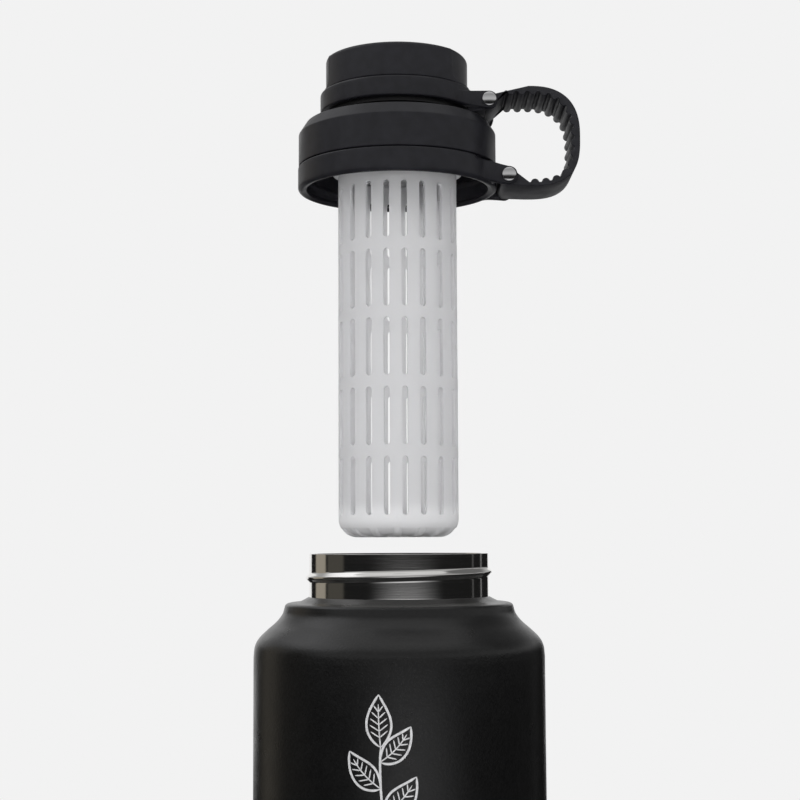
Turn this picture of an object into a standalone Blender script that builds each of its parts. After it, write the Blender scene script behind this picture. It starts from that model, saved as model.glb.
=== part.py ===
"""Wide-mouth insulated bottle with a screw lid, a hanging infuser and a ribbed carry loop.

Metres, +Z up. The origin is the centre of the base, on the surface that the bottle stands on, and the
carry loop points to +X. The lid hangs over the mouth with its infuser, as it does when it is lifted off.
Pieces of the lid are measured up from the lid's lower edge, and pieces of the bottle up from the base.
"""
import math

import bmesh
import bpy
from mathutils import Matrix, Vector

# Fits
FIT_GAP = 0.0003          # pieces that touch or are welded
RUN_GAP = 0.0004          # pieces that turn in each other
OVERRUN = 0.002           # how far a cut runs past the face it opens
MERGE = 0.00001

# Facets round a turn
BODY_STEPS = 40
RING_STEPS = 32
PIN_STEPS = 16
THREAD_STEPS = 24         # points in one turn of a thread
EYE_STEPS = 8             # half a turn round a pivot
CORNER_STEPS = 3
LOOP_STEPS = 48

# Bottle
BODY_RADIUS = 0.0508
BODY_HEIGHT = 0.245       # base to rim
BASE_FILLET = 0.0055
STEEL_WALL = 0.0005
VACUUM_GAP = 0.003        # between the two walls
NECK_RADIUS = 0.03145
NECK_DEPTH = 0.015        # rim to the first of the coating
SHOULDER_DEPTH = 0.035    # rim to the full width
BOTTOM_GAP = 0.006        # base to the underside of the inner bottom
BOTTOM_RISE = 0.0075      # height of the inner bottom's turned-up edge

# Neck thread, and the matching one in the lid
NECK_LEAD = 0.0042
NECK_TURNS = 1.15
NECK_RIDGE_PROUD = 0.0011
NECK_RIDGE_RADIUS = 0.0013
NECK_RIDGE_DEPTH = 0.0074  # rim to the ridge, at the front
LID_RIDGE_PROUD = 0.001
LID_RIDGE_RADIUS = 0.0009

# Base
FOOT_WIDTH = 0.0128       # body wall to the recess in the base
BASE_RECESS_DEPTH = 0.0012
COVER_THICKNESS = 0.0009
PORT_DIMPLE_RADIUS = 0.0055
PORT_DIMPLE_DEPTH = 0.0016
PORT_RADIUS = 0.0013
GETTER_RADIUS = 0.0045
GETTER_HEIGHT = 0.0024
GETTER_OFFSET = 0.018

# Lid
LID_LIFT = 0.1445         # how far the lid hangs over its seat
LID_RADIUS = 0.0353
RIM_SEAT = 0.0152         # height in the lid of the bottle's rim, once it is screwed on
COLLAR_WALL_TOP = 0.0196
DECK_TOP = 0.0247
DECK_THICKNESS = 0.0026
DECK_RADIUS = 0.0327
DECK_FALL = 0.0009        # spout to the deck's edge
SKIRT_WALL = 0.001
GASKET_HEIGHT = 0.0022
GUIDE_GAP = 0.0012        # between the lid's inner lip and the mouth
GUIDE_HEIGHT = 0.003
GUIDE_WALL = 0.0007
SLEEVE_HEIGHT = 0.0121
SLEEVE_WALL = 0.0022

# Strap ring, round the lower edge of the lid
STRAP_RING_HEIGHT = 0.0079
STRAP_RING_LIP = 0.0009
STRAP_NOTCH_DEPTH = 0.0009
STRAP_NOTCH_ANGLE = math.radians(40.0)

# Spout and cap
SPOUT_RADIUS = 0.0199
SPOUT_WALL = 0.0027
SPOUT_HEIGHT = 0.015
SPOUT_EDGE = 0.0006
CAP_LEAD = 0.0036
SPOUT_RIDGE_TURNS = 1.5
SPOUT_RIDGE_PROUD = 0.0009
SPOUT_RIDGE_RADIUS = 0.0008
SPOUT_RIDGE_RISE = 0.0044  # deck to the lower end of the ridge
CAP_RIDGE_TURNS = 1.25
CAP_RIDGE_PROUD = 0.0007
CAP_RIDGE_RADIUS = 0.0007
CAP_RADIUS = 0.0262
CAP_TOP_WALL = 0.0026
CAP_EDGE = 0.0013
LINER_WALL = 0.0024
LINER_TOP = 0.0021
BEAD_PROUD = 0.001
BEAD_HEIGHT = 0.0012
CAP_GASKET_HEIGHT = 0.0017
CAP_RING_LIFT = 0.0031    # deck to the cap ring
CAP_RING_HEIGHT = 0.007
CAP_RING_WALL = 0.0033
GRIP_DEPTH = 0.0008
GRIP_REST = 0.001         # height of the round edge left under a grip
GRIP_ANGLE = math.radians(33.0)
GRIP_TURN = math.radians(-10.0)

# Carry loop and its pivots
LOOP_WIDTH = 0.024
LOOP_REACH = 0.0645       # axis to the outermost point
LOOP_CENTRE = 0.0465
LOOP_TOP = 0.035
LOOP_BOTTOM = -0.0008
LOOP_SQUARENESS = 2.5     # of the upper half
LOOP_FOOT_SQUARENESS = 3.0
BAND_THICKNESS = 0.002
BAND_THIN = 0.0013        # along the bottom
RIB_HEIGHT = 0.0009
RIB_COUNT = 16
BARREL_RADIUS = 0.003
EYE_RADIUS = 0.0031
ARM_THICKNESS = 0.0027
UPPER_PIVOT_REACH = 0.0052  # cap ring's wall to the pivot
UPPER_PIVOT_RISE = 0.0016   # cap ring's lower edge to the pivot
LOWER_PIVOT_REACH = 0.0038  # collar's wall to the pivot
LOWER_PIVOT_RISE = 0.0025
PIN_RADIUS = 0.0012
STUD_RADIUS = 0.0005      # stem of a rivet's front half, inside the tube of its rear half
HEAD_RADIUS = 0.0027
HEAD_HEIGHT = 0.001

# Infuser
INFUSER_RADIUS = 0.02115
INFUSER_NECK_RADIUS = 0.0206
INFUSER_WALL = 0.0013
INFUSER_LENGTH = 0.1236   # from the lid's lower edge down
INFUSER_CORNER = 0.0065
INFUSER_LEAD = 0.003
INFUSER_TURNS = 1.25
INFUSER_RIDGE_PROUD = 0.0008
INFUSER_RIDGE_RADIUS = 0.0007
INFUSER_RIDGE_RISE = 0.0025  # sleeve's lower edge to the infuser's ridge
SLEEVE_RIDGE_PROUD = 0.00065
SLEEVE_RIDGE_RADIUS = 0.0006
INFUSER_SHOULDER = 0.001  # sleeve's lower edge to the infuser's flange
FLANGE_PROUD = 0.0021
FLANGE_HEIGHT = 0.004
FLANGE_TAPER = 0.0012     # height of its slanted underside
SEAL_HEIGHT = 0.0008
SLOT_ROWS = 5
SLOT_COLUMNS = 18
SLOT_LENGTH = 0.0201
SLOT_PITCH = 0.0239
SLOT_WIDTH = 0.0022
FIRST_SLOT_DROP = 0.0004  # lid's lower edge to the first slot

# Outline of the shoulder: shares of the way from neck to body, and from bare neck to full width
SHOULDER_SHARES = (
    (0.028, 0.010), (0.096, 0.035), (0.199, 0.075), (0.385, 0.080), (0.420, 0.105), (0.435, 0.170),
    (0.488, 0.295), (0.597, 0.435), (0.757, 0.570), (0.902, 0.710), (0.974, 0.845), (1.000, 1.000),
)
VESSEL_SHARES = (
    (0.000, 0.080), (0.120, 0.230), (0.420, 0.340), (0.660, 0.610), (0.900, 0.860), (1.000, 1.120),
)
RIDGE_END_SHARE = 0.3     # thickness of a thread's ends
RIDGE_FADE_SHARE = 0.12   # length over which a thread fades out
DOME_SHARES = ((0.0, 1.0), (0.45, 0.86), (0.78, 0.5), (1.0, 0.0))
RIB_SHARES = ((-0.36, 0.0), (-0.2, 1.0), (0.2, 1.0), (0.36, 0.0))

# Worked out from the sizes above
BASE_RECESS_RADIUS = BODY_RADIUS - FOOT_WIDTH
VESSEL_NECK_RADIUS = NECK_RADIUS - STEEL_WALL - FIT_GAP
VESSEL_RADIUS = BODY_RADIUS - STEEL_WALL - VACUUM_GAP
MOUTH_RADIUS = VESSEL_NECK_RADIUS - STEEL_WALL
LID_BASE = BODY_HEIGHT - RIM_SEAT + LID_LIFT
THREAD_BORE = NECK_RADIUS + NECK_RIDGE_PROUD + RUN_GAP
SKIRT_RADIUS = THREAD_BORE + SKIRT_WALL
COLLAR_LOW = STRAP_RING_HEIGHT + FIT_GAP
GASKET_LOW = RIM_SEAT + FIT_GAP
GASKET_SEAT = GASKET_LOW + GASKET_HEIGHT + FIT_GAP
GUIDE_RADIUS = MOUTH_RADIUS - GUIDE_GAP
DECK_UNDER = DECK_TOP - DECK_THICKNESS
SLEEVE_LOW = DECK_UNDER - SLEEVE_HEIGHT
SLEEVE_BORE = INFUSER_NECK_RADIUS + INFUSER_RIDGE_PROUD + RUN_GAP
SPOUT_TOP = DECK_TOP + SPOUT_HEIGHT
SPOUT_BORE = SPOUT_RADIUS - SPOUT_WALL
LINER_BORE = SPOUT_RADIUS + SPOUT_RIDGE_PROUD + RUN_GAP
LINER_RADIUS = LINER_BORE + LINER_WALL
CAP_RING_LOW = DECK_TOP + CAP_RING_LIFT
CAP_RING_TOP = CAP_RING_LOW + CAP_RING_HEIGHT
CAP_RING_BORE = LINER_RADIUS + FIT_GAP
CAP_RING_RADIUS = CAP_RING_BORE + CAP_RING_WALL
CAP_LOW = CAP_RING_TOP + FIT_GAP
LINER_LOW = CAP_RING_LOW - FIT_GAP - BEAD_HEIGHT
LINER_UNDER = SPOUT_TOP + FIT_GAP + CAP_GASKET_HEIGHT + FIT_GAP
LINER_HIGH = LINER_UNDER + LINER_TOP
CAP_UNDER = LINER_HIGH + FIT_GAP
CAP_TOP = CAP_UNDER + CAP_TOP_WALL
UPPER_PIVOT = (CAP_RING_RADIUS + UPPER_PIVOT_REACH, CAP_RING_LOW + UPPER_PIVOT_RISE)
LOWER_PIVOT = (LID_RADIUS + LOWER_PIVOT_REACH, LOWER_PIVOT_RISE)
ARM_INSIDE = LOOP_WIDTH / 2 + FIT_GAP
ARM_OUTSIDE = ARM_INSIDE + ARM_THICKNESS
PIN_HOLE = PIN_RADIUS + FIT_GAP
INFUSER_TOP = DECK_UNDER - FIT_GAP - SEAL_HEIGHT - FIT_GAP
FRONT = -math.pi / 2


def clear_scene():
    """Remove every object that is already in the file."""
    for item in list(bpy.data.objects):
        bpy.data.objects.remove(item, do_unlink=True)


def new_collection(name):
    """A collection linked to the scene."""
    made = bpy.data.collections.new(name)
    bpy.context.scene.collection.children.link(made)
    return made


clear_scene()
PARTS = new_collection("infuser_bottle")
CUTTERS = new_collection("cutters")


def finish(name, colour, roughness, metallic=0.0, transmission=0.0):
    """A Principled material."""
    made = bpy.data.materials.new(name)
    made.use_nodes = True
    shader = made.node_tree.nodes["Principled BSDF"]
    shader.inputs["Base Color"].default_value = (*colour, 1.0)
    shader.inputs["Roughness"].default_value = roughness
    shader.inputs["Metallic"].default_value = metallic
    shader.inputs["Transmission Weight"].default_value = transmission
    return made


def joint_empty(name, parent, height):
    """An empty on the axis of a joint, at a height over its parent."""
    made = bpy.data.objects.new(name, None)
    made.location = (0.0, 0.0, height)
    made.parent = parent
    PARTS.objects.link(made)
    return made


def add_mesh(name, mesh, parent, material=None):
    """Link a mesh as a piece, or as a cutter if it has no material."""
    made = bpy.data.objects.new(name, mesh)
    made.parent = parent
    if material is None:
        made.hide_render = True
        made.display_type = "WIRE"
        CUTTERS.objects.link(made)
    else:
        mesh.materials.append(material)
        PARTS.objects.link(made)
    return made


def turned(name, profile, parent, material=None, steps=BODY_STEPS, closed=True):
    """A turned piece: a profile of (radius, height) points, down the outer side first."""
    mesh = bpy.data.meshes.new(name)
    edges = [(i, i + 1) for i in range(len(profile) - 1)]
    if closed:
        edges.append((len(profile) - 1, 0))
    mesh.from_pydata([(radius, 0.0, height) for radius, height in profile], edges, [])
    made = add_mesh(name, mesh, parent, material)
    screw = made.modifiers.new("turn", "SCREW")
    screw.steps = screw.render_steps = steps
    screw.use_merge_vertices = True
    screw.merge_threshold = MERGE
    screw.use_smooth_shade = True
    return made


def inner_face(profile, wall):
    """A profile moved in by the thickness of a wall, with its corners mitred."""
    runs = [(Vector(after) - Vector(before)).normalized() for before, after in zip(profile, profile[1:])]
    inward = [Vector((run.y, -run.x)) for run in runs]
    moved = []
    for point, before, after in zip(profile, [inward[0], *inward], [*inward, inward[-1]]):
        moved.append(tuple(Vector(point) + (before + after) * wall / (1.0 + before.dot(after))))
    return moved


def shell(name, profile, parent, material, steps=BODY_STEPS):
    """A turned sheet of steel: the profile is its outer face, and the wall lies inside it."""
    back = inner_face(profile, STEEL_WALL)[::-1]
    closed = profile[-1][0] > 0.0
    outline = [*profile, *back] if closed else [*back, *profile]
    return turned(name, outline, parent, material, steps, closed)


def boolean(target, tool, operation):
    """Add an exact Boolean."""
    step = target.modifiers.new(tool.name, "BOOLEAN")
    step.operation = operation
    step.solver = "EXACT"
    step.object = tool


def curve_to_mesh(name, curve, matrix):
    """Turn a curve into a welded closed mesh, placed by a matrix."""
    drawn = bpy.data.objects.new(name + "_curve", curve)
    CUTTERS.objects.link(drawn)
    graph = bpy.context.evaluated_depsgraph_get()
    mesh = bpy.data.meshes.new_from_object(drawn.evaluated_get(graph))
    mesh.transform(matrix)
    mesh.name = name
    work = bmesh.new()
    work.from_mesh(mesh)
    bmesh.ops.remove_doubles(work, verts=work.verts, dist=MERGE)
    bmesh.ops.recalc_face_normals(work, faces=work.faces)
    work.to_mesh(mesh)
    work.free()
    mesh.materials.clear()
    bpy.data.objects.remove(drawn, do_unlink=True)
    return mesh


def plate(name, outlines, thickness, middle, parent, material=None):
    """A flat plate cut out of the XZ plane, with the later outlines as holes, centred on y = middle."""
    curve = bpy.data.curves.new(name, "CURVE")
    curve.dimensions = "2D"
    curve.fill_mode = "BOTH"
    curve.extrude = thickness / 2
    for outline in outlines:
        spline = curve.splines.new("POLY")
        spline.points.add(len(outline) - 1)
        for point, (x, z) in zip(spline.points, outline):
            point.co = (x, z, 0.0, 1.0)
        spline.use_cyclic_u = True
    stand = Matrix.Translation((0.0, middle, 0.0)) @ Matrix.Rotation(math.pi / 2, 4, "X")
    return add_mesh(name, curve_to_mesh(name, curve, stand), parent, material)


def arc(centre, radius, start, end, count):
    """Points on an arc, both ends included, at angles in degrees."""
    angles = [math.radians(start + (end - start) * i / count) for i in range(count + 1)]
    return [(centre[0] + radius * math.cos(a), centre[1] + radius * math.sin(a)) for a in angles]


def circle(centre, radius, count=PIN_STEPS):
    """Points on a full circle."""
    return arc(centre, radius, 0.0, 360.0, count)[:-1]


def ridge(name, wall, proud, thickness, lead, turns, middle, parent, inward=False):
    """A thread: a round wire wound on a wall and half sunk in it, thin at both ends.

    The helix is right-handed, and middle is its height halfway along, at the front.
    """
    curve = bpy.data.curves.new(name, "CURVE")
    curve.dimensions = "3D"
    curve.bevel_depth = thickness
    curve.bevel_resolution = 1
    curve.use_fill_caps = True
    count = round(THREAD_STEPS * turns)
    spline = curve.splines.new("POLY")
    spline.points.add(count)
    for i, point in enumerate(spline.points):
        share = i / count
        fade = min(1.0, min(share, 1.0 - share) / RIDGE_FADE_SHARE)
        size = RIDGE_END_SHARE + (1.0 - RIDGE_END_SHARE) * math.sin(fade * math.pi / 2)
        sunk = (proud - thickness) * size
        radius = wall - sunk if inward else wall + sunk
        turn = (share - 0.5) * turns
        angle = FRONT + turn * 2 * math.pi
        point.co = (radius * math.cos(angle), radius * math.sin(angle), middle + turn * lead, 1.0)
        point.radius = size
    return add_mesh(name, curve_to_mesh(name, curve, Matrix.Identity(4)), parent)


def cylinder_cutter(name, radius, low, high, parent, steps=BODY_STEPS):
    """A plain solid cylinder."""
    profile = [(0.0, high), (radius, high), (radius, low), (0.0, low)]
    return turned(name, profile, parent, None, steps, closed=False)


# Materials
COATING = finish("black_powder_coat", (0.012, 0.012, 0.013), 0.55)
NECK_STEEL = finish("polished_steel", (0.55, 0.54, 0.52), 0.18, metallic=1.0)
INNER_STEEL = finish("brushed_steel", (0.5, 0.5, 0.49), 0.35, metallic=1.0)
BASE_STEEL = finish("base_steel", (0.46, 0.46, 0.45), 0.3, metallic=1.0)
GLASS = finish("sealing_glass", (0.1, 0.2, 0.12), 0.2)
GETTER = finish("getter_alloy", (0.3, 0.29, 0.28), 0.5, metallic=1.0)
LID_BLACK = finish("black_moulded_plastic", (0.02, 0.02, 0.021), 0.42)
CAP_BLACK = finish("black_cap_plastic", (0.022, 0.022, 0.023), 0.4)
LINER_BLACK = finish("black_liner_plastic", (0.018, 0.018, 0.019), 0.35)
LOOP_BLACK = finish("black_flexible_plastic", (0.024, 0.024, 0.025), 0.5)
SILICONE = finish("clear_grey_silicone", (0.55, 0.55, 0.55), 0.5)
CHROME = finish("chrome", (0.75, 0.75, 0.76), 0.1, metallic=1.0)
FROSTED = finish("frosted_plastic", (0.72, 0.72, 0.73), 0.4, transmission=0.5)


def shoulder_profile(shares, inner_radius, outer_radius):
    """Points of a shoulder between two radii, from shares of its width and depth."""
    width = outer_radius - inner_radius
    depth = SHOULDER_DEPTH - NECK_DEPTH
    return [(inner_radius + width * a, BODY_HEIGHT - NECK_DEPTH - depth * b) for a, b in shares]


def make_bottle(root):
    """The double-walled steel bottle: outer shell with its threaded neck, inner vessel and bottoms."""
    neck_top = BODY_HEIGHT - STEEL_WALL - FIT_GAP
    fillet_centre = (BODY_RADIUS - BASE_FILLET, BASE_FILLET)
    outline = [(NECK_RADIUS, neck_top), (NECK_RADIUS, BODY_HEIGHT - NECK_DEPTH)]
    outline += shoulder_profile(SHOULDER_SHARES, NECK_RADIUS, BODY_RADIUS)
    outline += arc(fillet_centre, BASE_FILLET, 0.0, -90.0, CORNER_STEPS)
    outer = shell("outer_shell", outline, root, COATING)
    thread = ridge(
        "neck_ridge", NECK_RADIUS, NECK_RIDGE_PROUD, NECK_RIDGE_RADIUS, NECK_LEAD, NECK_TURNS,
        BODY_HEIGHT - NECK_RIDGE_DEPTH, root,
    )
    core_radius = NECK_RADIUS - STEEL_WALL / 2
    core = cylinder_cutter("neck_core", core_radius, BODY_HEIGHT - NECK_DEPTH, BODY_HEIGHT, root)
    boolean(thread, core, "DIFFERENCE")
    boolean(outer, thread, "UNION")

    lip = BODY_HEIGHT - STEEL_WALL
    tube_low = BOTTOM_GAP + BOTTOM_RISE + FIT_GAP
    outline = [(NECK_RADIUS, lip), (VESSEL_NECK_RADIUS, lip)]
    outline += shoulder_profile(VESSEL_SHARES, VESSEL_NECK_RADIUS, VESSEL_RADIUS)
    outline += [(VESSEL_RADIUS, tube_low)]
    shell("inner_vessel", outline, root, INNER_STEEL)

    dish_corner = (VESSEL_RADIUS - BASE_FILLET, BOTTOM_GAP + BASE_FILLET)
    outline = [(VESSEL_RADIUS, BOTTOM_GAP + BOTTOM_RISE)]
    outline += arc(dish_corner, BASE_FILLET, 0.0, -90.0, CORNER_STEPS)
    outline += [(0.0, BOTTOM_GAP)]
    shell("inner_bottom", outline, root, INNER_STEEL)

    foot_radius = BODY_RADIUS - BASE_FILLET - FIT_GAP
    dimple = BASE_RECESS_DEPTH + PORT_DIMPLE_DEPTH
    outline = [
        (foot_radius, 0.0), (BASE_RECESS_RADIUS, 0.0), (BASE_RECESS_RADIUS, BASE_RECESS_DEPTH),
        (PORT_DIMPLE_RADIUS, BASE_RECESS_DEPTH), (PORT_DIMPLE_RADIUS, dimple), (PORT_RADIUS, dimple),
    ]
    shell("outer_bottom", outline, root, BASE_STEEL)

    cover_radius = BASE_RECESS_RADIUS - FIT_GAP
    outline = [(0.0, COVER_THICKNESS), (cover_radius, COVER_THICKNESS), (cover_radius, 0.0), (0.0, 0.0)]
    turned("base_cover", outline, root, BASE_STEEL, closed=False)

    plug_radius = PORT_DIMPLE_RADIUS - FIT_GAP
    plug_high = dimple - FIT_GAP
    plug_low = COVER_THICKNESS + FIT_GAP
    outline = [(0.0, plug_high), (plug_radius, plug_high), (plug_radius, plug_low), (0.0, plug_low)]
    turned("vacuum_plug", outline, root, GLASS, PIN_STEPS, closed=False)

    getter_low = BASE_RECESS_DEPTH + STEEL_WALL + FIT_GAP
    getter_high = getter_low + GETTER_HEIGHT
    outline = [
        (0.0, getter_high), (GETTER_RADIUS, getter_high), (GETTER_RADIUS, getter_low), (0.0, getter_low),
    ]
    getter = turned("getter_capsule", outline, root, GETTER, PIN_STEPS, closed=False)
    getter.location = (-GETTER_OFFSET, 0.0, 0.0)


def make_collar(lid):
    """The lid's main moulding: threaded collar, deck, infuser sleeve and drinking spout."""
    guide_low = GASKET_SEAT - GUIDE_HEIGHT
    sleeve_radius = SLEEVE_BORE + SLEEVE_WALL
    outline = [
        (SPOUT_RADIUS - SPOUT_EDGE, SPOUT_TOP),
        (SPOUT_RADIUS, SPOUT_TOP - SPOUT_EDGE),
        (SPOUT_RADIUS, DECK_TOP),
        (DECK_RADIUS, DECK_TOP - DECK_FALL),
        (LID_RADIUS, COLLAR_WALL_TOP),
        (LID_RADIUS, COLLAR_LOW),
        (SKIRT_RADIUS, COLLAR_LOW),
        (SKIRT_RADIUS, STRAP_RING_LIP + FIT_GAP),
        (THREAD_BORE, STRAP_RING_LIP + FIT_GAP),
        (THREAD_BORE, GASKET_SEAT),
        (GUIDE_RADIUS, GASKET_SEAT),
        (GUIDE_RADIUS, guide_low),
        (GUIDE_RADIUS - GUIDE_WALL, guide_low),
        (GUIDE_RADIUS - GUIDE_WALL, DECK_UNDER),
        (sleeve_radius, DECK_UNDER),
        (sleeve_radius, SLEEVE_LOW),
        (SLEEVE_BORE, SLEEVE_LOW),
        (SLEEVE_BORE, DECK_UNDER),
        (SPOUT_BORE, DECK_UNDER),
        (SPOUT_BORE, SPOUT_TOP - SPOUT_EDGE),
        (SPOUT_BORE + SPOUT_EDGE, SPOUT_TOP),
    ]
    collar = turned("lid_collar", outline, lid, LID_BLACK)
    catch = ridge(
        "collar_ridge", THREAD_BORE, LID_RIDGE_PROUD, LID_RIDGE_RADIUS, NECK_LEAD, NECK_TURNS,
        RIM_SEAT - NECK_RIDGE_DEPTH - NECK_LEAD / 2, lid, inward=True,
    )
    boolean(collar, catch, "UNION")
    spout_middle = DECK_TOP + SPOUT_RIDGE_RISE + SPOUT_RIDGE_TURNS * CAP_LEAD / 2
    spout = ridge(
        "spout_ridge", SPOUT_RADIUS, SPOUT_RIDGE_PROUD, SPOUT_RIDGE_RADIUS, CAP_LEAD,
        SPOUT_RIDGE_TURNS, spout_middle, lid,
    )
    boolean(collar, spout, "UNION")
    sleeve = ridge(
        "sleeve_ridge", SLEEVE_BORE, SLEEVE_RIDGE_PROUD, SLEEVE_RIDGE_RADIUS, INFUSER_LEAD,
        INFUSER_TURNS, infuser_ridge_middle() - INFUSER_LEAD / 2, lid, inward=True,
    )
    boolean(collar, sleeve, "UNION")


def infuser_ridge_middle():
    """Height of the middle of the infuser's thread, in the lid."""
    return SLEEVE_LOW + INFUSER_RIDGE_RISE + INFUSER_TURNS * INFUSER_LEAD / 2


def ring_with_arms(name, radius, low, high, bore, pivot, arm_low, arm_high, parent, material):
    """A ring with two arms that hold a pivot between them, one at the front and one at the back."""
    outline = [(0.0, high), (radius, high), (radius, low), (0.0, low)]
    made = turned(name, outline, parent, material, closed=False)
    buried = radius / 2
    eye = arc(pivot, EYE_RADIUS, -90.0, 90.0, EYE_STEPS)
    outline = [(buried, arm_low), *eye, (buried, arm_high)]
    for side, word in ((-1, "front"), (1, "rear")):
        middle = side * (ARM_INSIDE + ARM_OUTSIDE) / 2
        arm = plate(
            f"{name}_{word}_arm", [outline, circle(pivot, PIN_HOLE)], ARM_THICKNESS, middle, parent,
        )
        boolean(made, arm, "UNION")
    boolean(made, turned(name + "_bore", bore, parent, closed=False), "DIFFERENCE")
    return made


def make_strap_ring(lid):
    """The ring round the lid's lower edge, which holds the loop's lower pivot."""
    wide = SKIRT_RADIUS + FIT_GAP
    bore = [
        (0.0, STRAP_RING_HEIGHT + OVERRUN), (wide, STRAP_RING_HEIGHT + OVERRUN),
        (wide, STRAP_RING_LIP), (THREAD_BORE, STRAP_RING_LIP), (THREAD_BORE, -OVERRUN), (0.0, -OVERRUN),
    ]
    arm_high = STRAP_RING_HEIGHT - STRAP_NOTCH_DEPTH
    made = ring_with_arms(
        "strap_ring", LID_RADIUS, 0.0, STRAP_RING_HEIGHT, bore, LOWER_PIVOT, 0.0, arm_high, lid, LID_BLACK,
    )
    near = LID_RADIUS * math.cos(STRAP_NOTCH_ANGLE)
    far = LID_RADIUS + OVERRUN
    high = STRAP_RING_HEIGHT + OVERRUN
    notch = plate(
        "strap_notch", [[(near, arm_high), (far, arm_high), (far, high), (near, high)]],
        2 * far, 0.0, lid,
    )
    boolean(made, notch, "DIFFERENCE")


def make_gaskets(seal, cap):
    """The soft rings: one on the bottle's rim, one on the spout's rim."""
    outer = THREAD_BORE - FIT_GAP
    inner = GUIDE_RADIUS + FIT_GAP
    high = GASKET_LOW + GASKET_HEIGHT
    outline = [(inner, high), (outer, high), (outer, GASKET_LOW), (inner, GASKET_LOW)]
    turned("lid_gasket", outline, seal, SILICONE)
    outer = LINER_BORE - FIT_GAP
    inner = SPOUT_BORE
    low = SPOUT_TOP + FIT_GAP
    high = low + CAP_GASKET_HEIGHT
    outline = [(inner, high), (outer, high), (outer, low), (inner, low)]
    turned("cap_gasket", outline, cap, SILICONE, RING_STEPS)


def make_cap(ring, cap):
    """The spout's screw cap: a grip shell over a threaded liner, and the ring that keeps it on its loop."""
    edge_centre = (CAP_RADIUS - CAP_EDGE, CAP_TOP - CAP_EDGE)
    outline = [(0.0, CAP_TOP), *arc(edge_centre, CAP_EDGE, 90.0, 0.0, CORNER_STEPS)]
    inner = LINER_RADIUS + FIT_GAP
    outline += [(CAP_RADIUS, CAP_LOW), (inner, CAP_LOW), (inner, CAP_UNDER), (0.0, CAP_UNDER)]
    grip_shell = turned("cap_shell", outline, cap, CAP_BLACK, closed=False)
    boolean(grip_shell, grip_cutter(cap), "DIFFERENCE")

    bead = LINER_RADIUS + BEAD_PROUD
    bead_high = LINER_LOW + BEAD_HEIGHT
    outline = [
        (0.0, LINER_HIGH), (LINER_RADIUS, LINER_HIGH), (LINER_RADIUS, bead_high), (bead, bead_high),
        (bead, LINER_LOW), (LINER_BORE, LINER_LOW), (LINER_BORE, LINER_UNDER), (0.0, LINER_UNDER),
    ]
    liner = turned("cap_liner", outline, cap, LINER_BLACK, closed=False)
    middle = DECK_TOP + SPOUT_RIDGE_RISE + (SPOUT_RIDGE_TURNS - 1.0) * CAP_LEAD / 2
    catch = ridge(
        "cap_ridge", LINER_BORE, CAP_RIDGE_PROUD, CAP_RIDGE_RADIUS, CAP_LEAD, CAP_RIDGE_TURNS,
        middle, cap, inward=True,
    )
    boolean(liner, catch, "UNION")

    bead_room = bead + RUN_GAP
    bore = [
        (0.0, CAP_RING_TOP + OVERRUN), (CAP_RING_BORE, CAP_RING_TOP + OVERRUN),
        (CAP_RING_BORE, CAP_RING_LOW), (bead_room, CAP_RING_LOW),
        (bead_room, CAP_RING_LOW - OVERRUN), (0.0, CAP_RING_LOW - OVERRUN),
    ]
    ring_with_arms(
        "cap_ring", CAP_RING_RADIUS, CAP_RING_LOW, CAP_RING_TOP, bore, UPPER_PIVOT,
        CAP_RING_LOW, UPPER_PIVOT[1] + EYE_RADIUS, ring, LID_BLACK,
    )


def grip_cutter(cap):
    """A ring with an oval hole: it shaves two grips off opposite sides of the cap, over its lower edge."""
    short = CAP_RADIUS - GRIP_DEPTH
    ratio = (math.cos(GRIP_ANGLE) * CAP_RADIUS / short) ** 2
    long = CAP_RADIUS * math.sin(GRIP_ANGLE) / math.sqrt(1.0 - ratio)
    hole = [(short * x, long * y) for x, y in circle((0.0, 0.0), 1.0, BODY_STEPS)]
    low = CAP_LOW + GRIP_REST
    height = CAP_TOP + OVERRUN - low
    cutter = plate(
        "grip_cutter", [circle((0.0, 0.0), long + OVERRUN, BODY_STEPS), hole], height, 0.0, cap,
    )
    lay = Matrix.Translation((0.0, 0.0, low + height / 2)) @ Matrix.Rotation(GRIP_TURN, 4, "Z")
    cutter.data.transform(lay @ Matrix.Rotation(-math.pi / 2, 4, "X"))
    return cutter


def tangent(point, centre, radius, side):
    """Where a line from a point touches a circle, on its left (1) or right (-1) side."""
    dx, dz = centre[0] - point[0], centre[1] - point[1]
    distance = math.hypot(dx, dz)
    lean = math.atan2(dz, dx) + side * math.asin(radius / distance)
    length = math.sqrt(distance ** 2 - radius ** 2)
    return point[0] + length * math.cos(lean), point[1] + length * math.sin(lean)


def angle_on(centre, point):
    """The angle of a point round a centre, in degrees."""
    return math.degrees(math.atan2(point[1] - centre[1], point[0] - centre[0]))


def rounded_side(low, high, reach, count):
    """The outer side of a squared oval, from its top to its bottom through its farthest point."""
    middle = (low + high) / 2
    points = []
    for i in range(count + 1):
        a = math.pi / 2 - math.pi * i / count
        power = 2.0 / (LOOP_SQUARENESS if math.sin(a) > 0.0 else LOOP_FOOT_SQUARENESS)
        x = LOOP_CENTRE + (reach - LOOP_CENTRE) * abs(math.cos(a)) ** power
        z = middle + (high - low) / 2 * math.copysign(abs(math.sin(a)) ** power, math.sin(a))
        points.append((x, z))
    return points


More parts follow.
